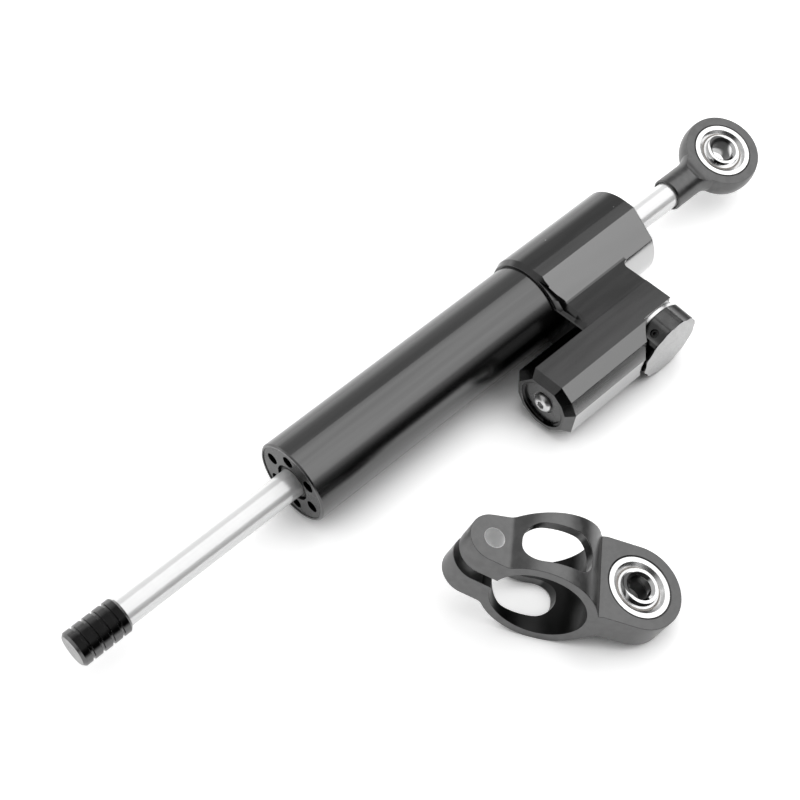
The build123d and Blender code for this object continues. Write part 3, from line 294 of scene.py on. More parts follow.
world = bpy.data.worlds.new("studio_room")
bpy.context.scene.world = world
world.use_nodes = True
tree = world.node_tree
tree.nodes.clear()
direction = add(tree, "TexCoord").outputs["Generated"]
parts = add(tree, "SeparateXYZ", {"Vector": direction})
back_wall = ramp(tree, parts.outputs["Z"], *BACK_WALL_FADE, BACK_LEVEL, BACK_HIGH_LEVEL)
front_wall = ramp(tree, parts.outputs["Z"], *FRONT_WALL_FADE, 0.0, TOP_LEVEL)
right_side = ramp(tree, parts.outputs["X"], *LEFT_TO_RIGHT_FADE, DARK_SIDE, 1.0)
front_wall = calc(tree, "MULTIPLY", front_wall, right_side)
frontness = ramp(tree, parts.outputs["Y"], *BACK_TO_FRONT_FADE)
difference = calc(tree, "SUBTRACT", front_wall, back_wall)
level = calc(tree, "MULTIPLY_ADD", difference, frontness, back_wall)
room = add(tree, "Background", {"Strength": level})
add(tree, "OutputWorld", {"Surface": room.outputs[0]})
print("room levels", BACK_LEVEL, BACK_HIGH_LEVEL, TOP_LEVEL)

# %% [markdown]
# ### The black card
# Below the black band the barrel would mirror the white floor. Photographers lay a black card beside
# the object to stop that. This one is a strip on the floor with a low wall at its far side: a grid of
# three rows, whose last row is lifted. Only reflections see it, and it throws no shadow.

# %% Black card
CARD_NEAR = 0.125
CARD_FAR = 0.17
CARD_HIGH = 0.045
CARD_HALF = 0.6
CARD_PAINT = 0.01

bm = bmesh.new()
bmesh.ops.create_grid(bm, x_segments=1, y_segments=2, size=CARD_HALF)
for vert in bm.verts:
    row = round(vert.co.y / CARD_HALF)
    vert.co.y = -CARD_NEAR if row == -1 else -CARD_FAR
    vert.co.z = cad_low.z + (CARD_HIGH if row == 1 else 0.0)
card_mesh = bpy.data.meshes.new("black_card")
bm.to_mesh(card_mesh)
bm.free()
card = bpy.data.objects.new("black_card", card_mesh)
bpy.context.scene.collection.objects.link(card)
card.visible_camera = False
card.visible_diffuse = False
card.visible_shadow = False
card_finish = bpy.data.materials.new("black_card")
card_finish.use_nodes = True
fill(card_finish.node_tree, card_finish.node_tree.nodes["Principled BSDF"], {
    "Base Color": grey(CARD_PAINT), "Roughness": 1.0,
})
card_mesh.materials.append(card_finish)
print("card", CARD_NEAR, "m in front")

# %% [markdown]
# ## Effects that many finishes share
# Machined metal is never quite even. Five small effects are each built once as a node group, and
# every material places those it needs with its own values. Grain, lathe rings and dust stand for the
# metal itself; the colour at edges is a painted edge line, and the mask for faces carries painted
# light and shade. Grain, lathe rings and dust read the piece's own coordinates, in millimetres, and
# the mask for faces reads the piece's own normal, so a pattern stays on its piece when the piece
# moves. The one for edges reads the surface itself.

# %% Node group helper
def start_group(name, inputs, outputs):
    group = bpy.data.node_groups.new(name, "ShaderNodeTree")
    for label, kind, value in inputs:
        socket = group.interface.new_socket(label, in_out="INPUT", socket_type="NodeSocket" + kind)
        socket.default_value = value
    for label, kind in outputs:
        group.interface.new_socket(label, in_out="OUTPUT", socket_type="NodeSocket" + kind)
    entry = group.nodes.new("NodeGroupInput")
    leave = group.nodes.new("NodeGroupOutput")
    return group, entry.outputs, leave.inputs


def place_group(tree, group, inputs):
    node = tree.nodes.new("ShaderNodeGroup")
    node.node_tree = group
    fill(tree, node, inputs)
    return node.outputs


print("group helper ready")

# %% [markdown]
# ### Grain
# Drawn, milled and blasted metal all have a grain, and differ in how far it is stretched. The
# coordinates are multiplied by a stretch before they reach the noise: a small number along one
# direction pulls the grain out into long streaks that way. A second, broad noise gives the tone.

# %% Grain group
grain_group, given, told = start_group(
    "metal_grain",
    [("Vector", "Vector", (0, 0, 0)), ("Stretch", "Vector", (1, 1, 1)), ("Fineness", "Float", 1.0)],
    [("Height", "Float"), ("Tone", "Float")],
)
pulled = vector_calc(grain_group, "MULTIPLY", given["Vector"], given["Stretch"])
grain = add(grain_group, "TexNoise", {
    "Vector": pulled, "Scale": given["Fineness"], "Detail": 4.0, "Roughness": 0.6,
})
grain_group.links.new(grain.outputs["Fac"], told["Height"])
broad = add(grain_group, "TexNoise", {"Vector": pulled, "Scale": 0.35, "Detail": 2.0})
grain_group.links.new(broad.outputs["Fac"], told["Tone"])
print("group", grain_group.name)

# %% [markdown]
# ### Lathe rings
# A turning tool leaves fine rings round its axis, on end faces as circles and on round sides as a
# very fine screw. Both come from one noise that is read at the distance from the axis and the
# distance along it. The group takes the axis to be X.

# %% Lathe ring group
ring_group, given, told = start_group(
    "lathe_rings",
    [("Vector", "Vector", (0, 0, 0)), ("Pitch", "Float", 0.2)],
    [("Height", "Float")],
)
from_axis = from_x_axis(ring_group, given["Vector"])
along = add(ring_group, "SeparateXYZ", {"Vector": given["Vector"]}).outputs["X"]
ring_place = add(ring_group, "CombineXYZ", {"X": from_axis, "Y": along}).outputs[0]
ring_scale = calc(ring_group, "DIVIDE", 1.0, given["Pitch"])
rings = add(ring_group, "TexNoise", {
    "Vector": ring_place, "Scale": ring_scale, "Detail": 2.0,
}, noise_dimensions="2D")
ring_group.links.new(rings.outputs["Fac"], told["Height"])
print("group", ring_group.name)

# %% [markdown]
# ### Broken edges
# No machined edge is razor sharp, and its tiny rounding catches a thin line of light. The Bevel node
# gives the normal that such a rounding would have. Where that normal departs from the flat one there
# is an edge, which makes a mask for a painted edge line: a painted highlight, or a painted shade line
# where a finish gives a dark edge colour. Both limits are cosines of the angle between the two normals.

# %% Edge group
EDGE_STARTS = 0.99
EDGE_FULL = 0.86

edge_group, given, told = start_group(
    "broken_edges",
    [("Radius", "Float", 0.0002)],
    [("Normal", "Vector"), ("Mask", "Float")],
)
rounded = add(edge_group, "Bevel", {"Radius": given["Radius"]}, samples=6).outputs[0]
flat_normal = add(edge_group, "NewGeometry").outputs["Normal"]
agree = dot(edge_group, rounded, flat_normal)
edge_group.links.new(rounded, told["Normal"])
edge_group.links.new(ramp(edge_group, agree, EDGE_STARTS, EDGE_FULL), told["Mask"])
print("group", edge_group.name)

# %% [markdown]
# ### Dust
# Even a clean part carries a few specks of dust and lint, and on black they show. A Voronoi pattern
# gives every cell one point. Each cell also has a random colour, and only the few cells whose colour
# falls below a limit get a speck. Its size is a share of the cell.

# %% Dust group
SPECK_RIM = 0.09
SPECK_CORE = 0.04

dust_group, given, told = start_group(
    "dust_specks",
    [("Vector", "Vector", (0, 0, 0)), ("Spacing", "Float", 2.0), ("Share", "Float", 0.1)],
    [("Mask", "Float")],
)
cell_scale = calc(dust_group, "DIVIDE", 1.0, given["Spacing"])
cells = add(dust_group, "TexVoronoi", {"Vector": given["Vector"], "Scale": cell_scale})
speck = ramp(dust_group, cells.outputs["Distance"], SPECK_RIM, SPECK_CORE)
chance = add(dust_group, "SeparateColor", {"Color": cells.outputs["Color"]})
chosen = calc(dust_group, "LESS_THAN", chance.outputs["Red"], given["Share"])
dust_group.links.new(calc(dust_group, "MULTIPLY", speck, chosen), told["Mask"])
print("group", dust_group.name)

# %% [markdown]
# ### Faces with painted light or shade
# Some faces of a piece get painted light or painted shade: the outer side of the milled block is
# painted paler, and one flank of the grip is painted darker. Each could be a material of its own, but
# then the border would be hard. This mask compares the direction of a face, in the piece's own frame,
# with a given direction, and fades between them. Start and End are cosines where that direction has a
# length of one.

# %% Facing group
painted_side_group, given, told = start_group(
    "facing_side",
    [("Direction", "Vector", (0, 0, 1)), ("Start", "Float", 0.2), ("End", "Float", 0.5)],
    [("Mask", "Float")],
)
own_normal = add(painted_side_group, "TexCoord").outputs["Normal"]
toward = dot(painted_side_group, own_normal, given["Direction"])
side_paint = ramp(painted_side_group, toward, given["Start"], given["End"])
painted_side_group.links.new(side_paint, told["Mask"])
print("group", painted_side_group.name)

# %% [markdown]
# ## One recipe for every finish
# All finishes here are a Principled surface whose colour, roughness and bump come from the five
# effects. `finish` builds one from a handful of values: how dark, how rough, which way the grain
# runs, how deep it is, and how the piece's own axis lies. Plain numbers go straight onto the shader.

# %% Finish recipe
DUST_COLOUR = grey(0.55)
TONE_SPAN = (0.3, 0.7)
ROUGH_SPAN = (0.2, 0.8)
# The painted edge highlight is this many times a finish's light colour.
EDGE_HIGHLIGHT_LIFT = 2.5


def finish(name, dark, light, roughness, metallic=1.0, spread=0.06, stretch=(1, 1, 1), fineness=1.0,
           depth=0.5, ring_pitch=0.2, ring_share=0.0, edge=0.2, painted_edge_colour=None, painted_edge_share=0.3,
           dust=0.0, dust_spacing=2.0, warmth=0.0, centre=(0, 0, 0), turn=(0, 0, 0), painted_side_tone=None):
    """A finish. Lengths are in millimetres, and depth in thousandths of one."""
    material = bpy.data.materials.new(name)
    material.use_nodes = True
    tree = material.node_tree
    shader = tree.nodes["Principled BSDF"]
    shader.inputs["Metallic"].default_value = metallic
    place = add(tree, "Mapping", {
        "Vector": add(tree, "TexCoord").outputs["Object"], "Location": [MM * x for x in centre],
        "Rotation": turn, "Scale": (MM, MM, MM),
    }, vector_type="TEXTURE").outputs[0]
    marks = place_group(tree, grain_group, {"Vector": place, "Stretch": stretch, "Fineness": fineness})
    turned = place_group(tree, ring_group, {"Vector": place, "Pitch": ring_pitch})
    edges = place_group(tree, edge_group, {"Radius": edge * MM})
    tone = ramp(tree, marks["Tone"], *TONE_SPAN)
    colour = mix_colour(tree, tone, grey(dark, warmth), grey(light, warmth))
    # Painted light or shade on faces that look one way.
    if painted_side_tone:
        side_paint = place_group(tree, painted_side_group, {
            "Direction": painted_side_tone["direction"], "Start": painted_side_tone["start"], "End": painted_side_tone["end"],
        })
        colour = mix_colour(tree, side_paint["Mask"], colour, grey(painted_side_tone["level"], warmth))
    # Painted edge line: a painted highlight, or a painted shade line where the edge colour is dark.
    painted_edge_line = calc(tree, "MULTIPLY", edges["Mask"], painted_edge_share)
    colour = mix_colour(tree, painted_edge_line, colour, painted_edge_colour or grey(EDGE_HIGHLIGHT_LIFT * light, warmth))
    rough = ramp(tree, marks["Tone"], *ROUGH_SPAN, roughness - spread, roughness + spread)
    if dust:
        specks = place_group(tree, dust_group, {"Vector": place, "Spacing": dust_spacing, "Share": dust})
        colour = mix_colour(tree, specks["Mask"], colour, DUST_COLOUR)
    tree.links.new(colour, shader.inputs["Base Color"])
    tree.links.new(rough, shader.inputs["Roughness"])
    swing = calc(tree, "SUBTRACT", turned["Height"], marks["Height"])
    height = calc(tree, "MULTIPLY_ADD", swing, ring_share, marks["Height"])
    bump = add(tree, "Bump", {
        "Strength": 1.0, "Distance": depth * MM * MM, "Height": height, "Normal": edges["Normal"],
    })
    tree.links.new(bump.outputs[0], shader.inputs["Normal"])
    return material


print("recipe ready")

# %% [markdown]
# ### Putting a finish on, and changing it in one place
# A CAD piece keeps its mesh and gets its finish through its material slots. Some pieces differ in one
# place, such as a bore or an end face. A second material there would leave a hard border and cut the
# mesh up, so `touch_up` mixes another colour into the finish where a mask says so.

# %% Wear and touch up
def wear(material, *names):
    """Give CAD pieces a finish through their material slots."""
    for name in names:
        slots = nodes[name].material_slots
        if not slots:
            nodes[name].data.materials.append(material)
        for slot in slots:
            slot.material = material
    print(material.name, "on", ", ".join(names))


def touch_up(material, mask, colour, rougher=0.0):
    """Another colour where the mask is one, and so much more roughness."""
    tree = material.node_tree
    shader = tree.nodes["Principled BSDF"]
    old_colour = shader.inputs["Base Color"].links[0].from_socket
    tree.links.new(mix_colour(tree, mask, old_colour, colour), shader.inputs["Base Color"])
    if rougher:
        old_rough = shader.inputs["Roughness"].links[0].from_socket
        rough = calc(tree, "MULTIPLY_ADD", mask, rougher, old_rough)
        tree.links.new(rough, shader.inputs["Roughness"])


print("wear and touch up ready")

# %% [markdown]
# ## Black anodised pieces
# The barrel is drawn tube: its faint streaks run along it. Anodising leaves it a dark mirror, so it
# is a metal with a very dark colour, and a little rougher than the milled block beside it.

# %% Barrel
barrel_finish = finish(
    "anodised_drawn_tube", dark=0.11, light=0.13, roughness=0.22, spread=0.03, stretch=(0.03, 1, 1),
    fineness=2.4, depth=1.2, edge=0.3, dust=0.02, dust_spacing=3.0,
)
wear(barrel_finish, "barrel_tube")

# %% [markdown]
# ### The block
# Head, bridge and reservoir are milled from one bar, with a finer and more even grain than the tube.
# In the photograph the sides that look away from the barrel are much paler, and here they get painted
# light: a paler colour on the faces that look outwards. The mask takes the outward direction, which is
# also the knob's axis, and a share of the rearward one. That share keeps the bevels at the front nearly
# out of the mask. It is smaller than the mask's start, so the end face at the rear stays dark too.

# %% Block
REARWARD_SHARE = 0.35

knob_joint = next(joint for joint in frame["joints"] if joint["name"] == "knob_turn")
outwards = Vector(knob_joint["axis"])
# The outer sides get painted light.
block_finish = finish(
    "anodised_milled_block", dark=0.084, light=0.094, roughness=0.16, spread=0.03,
    stretch=(0.1, 1, 1), fineness=2.4, depth=0.6, edge=0.2, dust=0.03, dust_spacing=2.5,
    painted_side_tone={"direction": outwards + Vector((REARWARD_SHARE, 0, 0)), "start": 0.38, "end": 1.0, "level": 0.50},
)
wear(block_finish, "head_block")

# %% [markdown]
# ### The gland
# The plug at the front end is turned, and its face shows the rings of the lathe. From the camera
# that face mirrors the white floor, so it needs a darker colour than the barrel to come out as dark
# as it is in the photograph.

# %% Gland
# The darker colour is painted shade.
gland_finish = finish(
    "anodised_gland", dark=0.052, light=0.062, roughness=0.25, fineness=2.0, depth=1.0,
    ring_pitch=0.12, ring_share=0.7, edge=0.12, dust=0.02, dust_spacing=2.0,
)
wear(gland_finish, "front_gland")

# %% [markdown]
# ### The grip
# The ribbed end piece of the rod is turned as well. In the photograph its upper flank on the camera's
# side is nearly black and its flat end is grey, so it has two masks for faces: one for painted shade
# on the flank and one for painted light on the end.

# %% Grip
SHADE_PAINTED_FLANK = (0, -0.53, 0.85)
FRONT_END = (-1, 0, 0)
END_FACE_STARTS = 0.96
END_FACE_FULL = 0.99
END_FACE_PAINTED_LIGHT = 0.21

# The upper flank gets painted shade, nearly black.
grip_finish = finish(
    "anodised_grip", dark=0.115, light=0.13, roughness=0.24, fineness=2.0, depth=1.0,
    ring_pitch=0.12, ring_share=0.7, edge=0.12, dust=0.02, dust_spacing=2.0,
    painted_side_tone={"direction": SHADE_PAINTED_FLANK, "start": 0.72, "end": 0.90, "level": 0.012},
)
wear(grip_finish, "rod_end_grip")
# Painted light on the flat end face.
end_face = place_group(grip_finish.node_tree, painted_side_group, {
    "Direction": FRONT_END, "Start": END_FACE_STARTS, "End": END_FACE_FULL,
})
touch_up(grip_finish, end_face["Mask"], grey(END_FACE_PAINTED_LIGHT))
print("grip's end face is", END_FACE_PAINTED_LIGHT)

# %% [markdown]
# ### The reservoir cap
# The cap is turned about the reservoir's axis, which lies beside the barrel. Its finish gets that
# axis as its centre, so the lathe rings run round it and not round the barrel. Its broken edge
# catches the light in the photograph, and gets a strong painted highlight here.

# %% Reservoir cap
cap_low, cap_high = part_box("reservoir_cap")
cap_centre = [x / MM for x in (cap_low + cap_high) / 2]
# Its edge gets a strong painted highlight.
cap_finish = finish(
    "anodised_cap", dark=0.11, light=0.13, roughness=0.30, fineness=2.0, depth=1.5, ring_pitch=0.12,
    ring_share=0.8, edge=0.16, painted_edge_colour=grey(0.7), painted_edge_share=0.8, centre=cap_centre,
)
wear(cap_finish, "reservoir_cap")

# %% [markdown]
# ### The knob
# The knob is black on its fluted side and pale on its face, where the dye has been blasted away. One
# material does both: a mask compares the place along the knob's axis with the place of its outermost
# point, which is the face. A fine noise stands for the marks of the blasting.

# %% Knob
FACE_BAND = 0.12 * MM
FACE_DARK = 0.46
FACE_LIGHT = 0.56
FACE_ROUGHER = 0.25
BLAST_FINENESS = 2500.0

knob_low, knob_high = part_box("adjuster_knob")
knob_middle = (knob_low + knob_high) / 2
knob_face = max(vert.co.dot(outwards) for vert in nodes["adjuster_knob"].data.vertices)
knob_finish = finish(
    "anodised_knob", dark=0.07, light=0.09, roughness=0.24, fineness=2.0, depth=1.5, ring_pitch=0.15,
    ring_share=0.7, edge=0.12, centre=(knob_middle.x / MM, 0, 0), turn=(0, 0, math.radians(-90)),
)
wear(knob_finish, "adjuster_knob")
tree = knob_finish.node_tree
here = add(tree, "TexCoord").outputs["Object"]
on_face = ramp(tree, dot(tree, here, outwards), knob_face - FACE_BAND, knob_face - FACE_BAND / 2)
blast = add(tree, "TexNoise", {"Vector": here, "Scale": BLAST_FINENESS, "Detail": 2.0}).outputs["Fac"]
pale = mix_colour(tree, ramp(tree, blast, *TONE_SPAN), grey(FACE_DARK), grey(FACE_LIGHT))
touch_up(knob_finish, on_face, pale, rougher=FACE_ROUGHER)
print("knob face", round(knob_face / MM, 4), "mm from the barrel axis")

# %% [markdown]
# ### Rod eye and clamp
# Both are satin black: forged or milled, then blasted before anodising. The grain is the same in all
# directions, and the roughness is higher than on the block. The clamp's edges are dark lines in the
# photograph and not light ones, so they get a painted shade line in place of a painted highlight.

# %% Eye housing and clamp
satin_black = finish(
    "anodised_satin_black", dark=0.11, light=0.135, roughness=0.33, fineness=2.6, depth=1.5,
    edge=0.25, dust=0.015, dust_spacing=3.0,
)
wear(satin_black, "rod_eye")

# The clamp's edges get a painted shade line.
clamp_black = finish(
    "anodised_clamp", dark=0.125, light=0.15, roughness=0.33, fineness=2.6, depth=1.5, edge=0.3,
    painted_edge_colour=grey(0.02), painted_edge_share=0.8, dust=0.015, dust_spacing=3.0,
)
wear(clamp_black, "clamp_body")

# %% [markdown]
# ### The bore of the clamp
# The bore and the walls of the windows lie in shade, and get painted shade: nearly black. They are
# found by two masks: near the axis of the ring, and facing across it. The record of mounts says where
# that axis is, so the mask follows the clamp if its size changes.

# %% Clamp bore
RING_WALL = 3.0
RING_FADE = 0.2
RING_PAINTED_SHADE = 0.03
WALL_STARTS = 0.95
WALL_FULL = 0.85

mounts = {mount["name"]: mount for mount in frame["record"]["mounts"]}


def distance_from(tree, point, mount):
    """Distance of a point from a mount's axis, in metres."""
    arm = vector_calc(tree, "SUBTRACT", point, mount["pos_m"])
    return length(tree, vector_calc(tree, "CROSS_PRODUCT", arm, mount["axis"]))


ring = mounts["clamp_ring"]
wall_r = ring["dims"]["r_mm"] + RING_WALL
tree = clamp_black.node_tree
here = add(tree, "TexCoord")
from_ring = distance_from(tree, here.outputs["Object"], ring)
near_ring = ramp(tree, from_ring, wall_r * MM, (wall_r - RING_FADE) * MM)
straight = calc(tree, "ABSOLUTE", dot(tree, here.outputs["Normal"], ring["axis"]))
on_wall = ramp(tree, straight, WALL_STARTS, WALL_FULL)
# Painted shade in the bore and on the walls of the windows.
touch_up(clamp_black, calc(tree, "MULTIPLY", near_ring, on_wall), grey(RING_PAINTED_SHADE))
print("clamp is dark within", wall_r, "mm of its axis")

# %% [markdown]
# ### The hole for the clamp's bolt
# This hole is white, as light shows through it, so its wall gets painted light: a pale colour. A
# mirror there would show the dark clamp. With little metal in the mix the painted pale colour shows.

# %% Bolt hole
HOLE_BAND = 0.15
HOLE_PAINTED_LIGHT = 0.95
HOLE_METALLIC = 0.1
HOLE_ROUGHER = 0.2

hole = mounts["clamp_ear_hole"]
hole_r = hole["dims"]["r_mm"]
from_hole = distance_from(tree, here.outputs["Object"], hole)
in_hole = ramp(tree, from_hole, (hole_r + HOLE_BAND) * MM, (hole_r + HOLE_BAND / 2) * MM)
# Painted light on the wall of the hole.
touch_up(clamp_black, in_hole, grey(HOLE_PAINTED_LIGHT), rougher=HOLE_ROUGHER)
metallic = calc(tree, "MULTIPLY_ADD", in_hole, HOLE_METALLIC - 1.0, 1.0)
tree.links.new(metallic, tree.nodes["Principled BSDF"].inputs["Metallic"])
print("bolt hole", hole_r, "mm")

# %% [markdown]
# ## Chrome and steel
# The rod is ground and hard chromed, and nearly white in the photograph. A full mirror would show the
# dark side of the room as wide black bands, so the metallic value is low and a pale colour shows
# through. The grinding marks run round it.

# %% Rod
# The pale colour is a painted reflection, in place of a mirror.
rod_finish = finish(
    "ground_chrome", dark=0.96, light=0.98, roughness=0.16, metallic=0.28, spread=0.02,
    stretch=(1, 0.2, 0.2), fineness=4.0, depth=0.15, ring_pitch=0.08, ring_share=0.8, edge=0.15,
    painted_edge_colour=grey(0.8),
)
wear(rod_finish, "rod")

# %% [markdown]
# ### Races and balls
# The races are bright turned steel, and the balls are polished, so they mirror the room sharply. The
# rings of the lathe run round an upright line through the middle of each bearing. The real axes lean
# by about 20 degrees from it, which doesn't show in rings so fine. The eye and the clamp have the
# same bearing, so a loop dresses both.

# %% Races and balls
def bearing_finish(name, race_node, dark, light, roughness, depth):
    low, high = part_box(race_node)
    return finish(
        name, dark, light, roughness, spread=0.03, fineness=3.0, depth=depth, ring_pitch=0.1,
        ring_share=0.8, edge=0.12, painted_edge_colour=grey(0.9),
        centre=[x / MM for x in (low + high) / 2], turn=(0, math.radians(-90), 0),
    )


ball_finishes = {}
for where in ("eye", "clamp"):
    race = where + "_race"
    race_finish = bearing_finish(race + "_steel", race, dark=0.78, light=0.88, roughness=0.22, depth=1.0)
    wear(race_finish, race)
    ball_finishes[where] = bearing_finish(
        where + "_ball_steel", race, dark=0.72, light=0.80, roughness=0.07, depth=0.2,
    )
    wear(ball_finishes[where], where + "_ball")

# %% [markdown]
# ### The bores of the balls
# In the photograph the wall of each ball's bore is nearly black. Here it would mirror the floor that
# glows below it, so it gets painted shade: a darker colour, and more roughness. It is found by the
# distance from the same upright line as the rings. That is simple, but at the ends of a bore it is off
# by up to a millimetre and a half, because the bearing leans.

# %% Ball bores
BORE_BAND = 0.35
BORE_PAINTED_SHADE = 0.10
BORE_ROUGHER = 0.3

for where, ball_finish in ball_finishes.items():
    bore_r = mounts[where + "_ball_bore"]["dims"]["r_mm"]
    tree = ball_finish.node_tree
    from_axis = from_x_axis(tree, tree.nodes["Mapping"].outputs[0])
    in_bore = ramp(tree, from_axis, bore_r + BORE_BAND, bore_r)
    # Painted shade on the wall of the bore.
    touch_up(ball_finish, in_bore, grey(BORE_PAINTED_SHADE), rougher=BORE_ROUGHER)
    print(where, "ball bore", bore_r, "mm")

# %% [markdown]
# ### Small steel pieces
# Small hardware comes bright from polishing or black from an oil bath. Both are the same recipe: a
# bright and fairly smooth one, and a dark and rougher one.

# %% Bright and black steel
bright_steel = finish(
    "bright_steel", dark=0.72, light=0.85, roughness=0.16, spread=0.04, fineness=3.0, depth=0.6,
    edge=0.08, painted_edge_colour=grey(0.9),
)
wear(bright_steel, "detent_ball", "needle_guide_pin", "needle_valve")

dark_steel = finish(
    "blackened_steel", dark=0.04, light=0.07, roughness=0.32, spread=0.05, fineness=3.0, depth=1.0,
    edge=0.08, painted_edge_colour=grey(0.3),
)
wear(dark_steel, "cap_circlip", "rear_circlip", "piston_circlips", "knob_set_screw", "adjuster_spindle")

# %% [markdown]
# ## Pieces that CAD left plain
# Two small pieces are made here in place of a plain CAD solid. Each rides on the same body as that
# solid. A turned or coiled surface is shaded smooth, but a corner has to stay sharp, so every edge
# that bends by more than a limit is marked.

# %% Piece helper
SHARP_FROM = math.radians(32)


def new_piece(name, bm, body, node, material):
    """A finished piece in place of a CAD node, shaded smooth except at sharp corners."""
    bmesh.ops.recalc_face_normals(bm, faces=bm.faces)
    for face in bm.faces:
        face.smooth = True
    for edge in bm.edges:
        edge.smooth = edge.is_manifold and edge.calc_face_angle() < SHARP_FROM
    mesh = bpy.data.meshes.new(name)
    bm.to_mesh(mesh)
    bm.free()
    mesh.materials.append(material)
    piece = bpy.data.objects.new(name, mesh)
    bpy.context.scene.collection.objects.link(piece)
    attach(piece, body)
    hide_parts(node)
    print(name, "with", len(mesh.polygons), "faces")


print("piece helper ready")

# %% [markdown]
# ### The outline of the button head screw
# The screw in the cap has a low crown and a hexagon socket with a small lead-in, which catches a
# light ring. A lathe would turn it from one outline. It starts at the bottom of the socket, runs over
# the crown and down the shank, in millimetres from the top of the head. The crown is a quarter of an
# ellipse, drawn in a little near the rim by a power.

# %% Screw outline
BUTTON_R = 3.6
BUTTON_HIGH = 2.2
BUTTON_RIM = 0.5
RIM_BREAK = 0.1
CROWN_R = 1.75
CROWN_STEPS = 6
CROWN_POWER = 1.25
SOCKET_HALF = 1.25
SOCKET_DEEP = 1.4
LEAD_IN = 0.15
SHANK_R = 2.0
SHANK_BREAK = 0.3

screw_low, screw_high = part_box("cap_screw")
screw_long = (screw_high.x - screw_low.x) / MM
crown_high = BUTTON_HIGH - BUTTON_RIM
crown = []
for step in range(CROWN_STEPS + 1):
    angle = math.radians(90) * (step / CROWN_STEPS)
    crown.append((
        crown_high - crown_high * math.sin(angle) ** CROWN_POWER,
        BUTTON_R - (BUTTON_R - CROWN_R) * (1 - math.cos(angle)),
    ))
outline = [
    (SOCKET_DEEP, 0), (SOCKET_DEEP, SOCKET_HALF), (LEAD_IN, SOCKET_HALF), (0, SOCKET_HALF + LEAD_IN),
    *reversed(crown), (BUTTON_HIGH - RIM_BREAK, BUTTON_R), (BUTTON_HIGH, BUTTON_R - RIM_BREAK),
    (BUTTON_HIGH, SHANK_R), (screw_long - SHANK_BREAK, SHANK_R), (screw_long, SHANK_R - SHANK_BREAK),
    (screw_long, 0),
]
print("screw outline of", len(outline), "points,", round(screw_long, 2), "mm long")

# %% [markdown]
# ### Turning the screw
# `spin` carries the outline round the X axis as the lathe would. Its two ends lie on the axis, where
# every step leaves a point, so these are merged into one.

# %% Turn the screw
SCREW_SIDES = 60
MERGE_WITHIN = 1e-4

screw = bmesh.new()
points = [screw.verts.new((x, 0, r)) for x, r in outline]
for first, second in zip(points, points[1:]):
    screw.edges.new((first, second))
bmesh.ops.spin(screw, geom=screw.verts[:] + screw.edges[:], cent=(0, 0, 0), axis=(1, 0, 0),
               angle=math.radians(360), steps=SCREW_SIDES, use_merge=True)
bmesh.ops.remove_doubles(screw, verts=screw.verts, dist=MERGE_WITHIN)
print("turned screw has", len(screw.faces), "faces")

# %% [markdown]
# ### The hexagon socket
# The socket starts round too, and then its points are pushed out to a hexagon. The distance to a flat
# side is the same all over, so the distance to the axis is that divided by the cosine of the angle
# from the middle of the side. The screw is then put where the CAD screw is.

# %% Socket and place
HEXAGON_SIDE = 60
ON_AXIS = 0.1
SLACK = 0.01

for vert in screw.verts:
    radius = math.hypot(vert.co.y, vert.co.z)
    if ON_AXIS < radius < SOCKET_HALF + LEAD_IN + SLACK and vert.co.x < SOCKET_DEEP + SLACK:
        turn = math.degrees(math.atan2(vert.co.y, vert.co.z)) % HEXAGON_SIDE - HEXAGON_SIDE / 2
        vert.co.y /= math.cos(math.radians(turn))
        vert.co.z /= math.cos(math.radians(turn))
bmesh.ops.scale(screw, vec=(MM, MM, MM), verts=screw.verts)
screw_middle = (screw_low + screw_high) / 2
bmesh.ops.translate(screw, vec=(screw_low.x, screw_middle.y, screw_middle.z), verts=screw.verts)
button_steel = finish(
    "button_steel", dark=0.62, light=0.75, roughness=0.34, spread=0.04, fineness=3.0, depth=0.8,
    ring_pitch=0.1, ring_share=0.8, edge=0.08, painted_edge_colour=grey(0.9), centre=cap_centre,
)
new_piece("button_screw", screw, "damper", "cap_screw", button_steel)

# %% [markdown]
# ### The room for the click spring
# A small coil spring pushes the ball into the dimples of the knob. CAD keeps it as a sleeve, which is
# enough for its place. The sleeve's half length and outer radius are measured along the knob's axis
# and across it, and the coil is made to fill them.

# %% Sleeve of the spring
sleeve_low, sleeve_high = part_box("detent_spring")
sleeve_middle = (sleeve_low + sleeve_high) / 2
arms = [vert.co - sleeve_middle for vert in nodes["detent_spring"].data.vertices]
sleeve_half = max(arm.dot(outwards) for arm in arms)
sleeve_r = max((arm - outwards * arm.dot(outwards)).length for arm in arms)
print("spring", round(2 * sleeve_half / MM, 2), "mm long and", round(2 * sleeve_r / MM, 2), "mm across")

# %% [markdown]
# ### Coiling the spring
# A spring is one round wire carried round an axis while it moves along it, and `spin` does just that
# when it is given a step along the axis. The wire's two ends are closed afterwards, and the spring is
# turned from Z to the knob's axis.

# %% Click spring
WIRE_R = 0.2 * MM
WIRE_SIDES = 12
TURNS = 6
STEPS_PER_TURN = 24

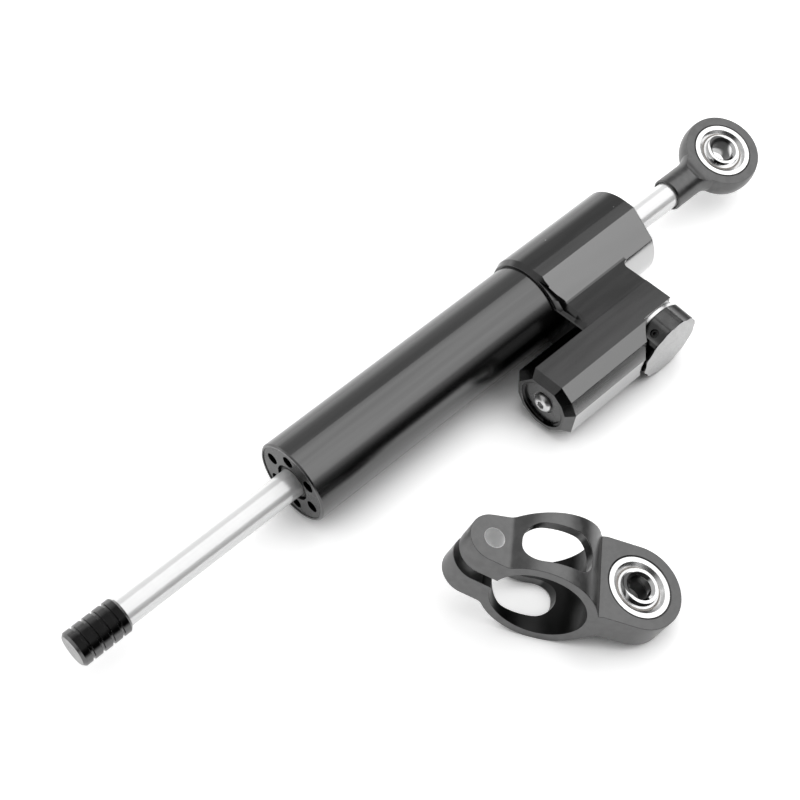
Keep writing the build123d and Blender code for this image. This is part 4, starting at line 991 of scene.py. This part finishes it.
coil_steps = TURNS * STEPS_PER_TURN
climb = 2 * (sleeve_half - WIRE_R) / coil_steps
spring = bmesh.new()
bmesh.ops.create_circle(spring, cap_ends=False, segments=WIRE_SIDES, radius=WIRE_R)
upright = Matrix.Rotation(math.radians(90), 3, "X")
bmesh.ops.rotate(spring, cent=(0, 0, 0), matrix=upright, verts=spring.verts)
bmesh.ops.translate(spring, vec=(sleeve_r - WIRE_R, 0, WIRE_R - sleeve_half), verts=spring.verts)
bmesh.ops.spin(spring, geom=spring.verts[:] + spring.edges[:], cent=(0, 0, 0), axis=(0, 0, 1),
               dvec=(0, 0, climb), angle=math.radians(360) * TURNS, steps=coil_steps)
bmesh.ops.holes_fill(spring, edges=[edge for edge in spring.edges if edge.is_boundary])
to_axis = outwards.to_track_quat("Z", "Y").to_matrix()
bmesh.ops.rotate(spring, cent=(0, 0, 0), matrix=to_axis, verts=spring.verts)
bmesh.ops.translate(spring, vec=sleeve_middle, verts=spring.verts)
new_piece("click_spring", spring, "damper", "detent_spring", bright_steel)

# %% [markdown]
# ## Clear anodised pieces
# The bonnet under the knob and the two pistons are anodised without dye. Only the bonnet's rim shows
# from outside, as a white line beside the knob. The others are seen when the part is opened.

# %% Clear anodised
clear_finish = finish(
    "clear_anodised", dark=0.80, light=0.90, roughness=0.30, metallic=0.85, fineness=3.0, depth=1.0,
    edge=0.12, painted_edge_colour=grey(0.95),
)
wear(clear_finish, "valve_bonnet", "piston", "compensator_piston")

# %% [markdown]
# ## Bronze bushes
# The rod runs in bushes of bearing bronze, turned from bar. A warm grey is enough for the colour,
# because a metal tints what it mirrors.

# %% Bronze
bronze_finish = finish(
    "bearing_bronze", dark=0.42, light=0.5, roughness=0.35, fineness=2.5, depth=1.5, ring_share=0.7,
    warmth=0.35, edge=0.1,
)
wear(bronze_finish, "front_bush", "rear_bush")

# %% [markdown]
# ## Rubber seals
# Seals and O-rings are moulded nitrile rubber: black, matt and not metallic. A little dust sticks to
# them.

# %% Rubber
rubber_finish = finish(
    "black_rubber", dark=0.012, light=0.022, roughness=0.55, metallic=0.0, spread=0.08, fineness=3.0,
    depth=4.0, edge=0.1, painted_edge_colour=grey(0.05), dust=0.03, dust_spacing=1.5,
)
wear(
    rubber_finish, "front_wiper", "front_seal", "rear_seal", "rear_wiper", "gland_o_ring", "head_o_ring",
    "cap_o_ring", "bonnet_o_ring", "spindle_o_ring", "compensator_o_ring",
)

# %% [markdown]
# ## Liners
# The balls and the piston run on liners of a woven plastic that needs no oil. The weave is too fine
# to be seen as threads, so a grain that is drawn out one way stands for it.

# %% Liners
liner_finish = finish(
    "woven_liner", dark=0.30, light=0.42, roughness=0.5, metallic=0.0, spread=0.05, stretch=(1, 3, 3),
    fineness=3.0, depth=6.0, edge=0.1, painted_edge_colour=grey(0.5), warmth=0.08,
)
wear(liner_finish, "eye_liner", "clamp_liner", "piston_ring")
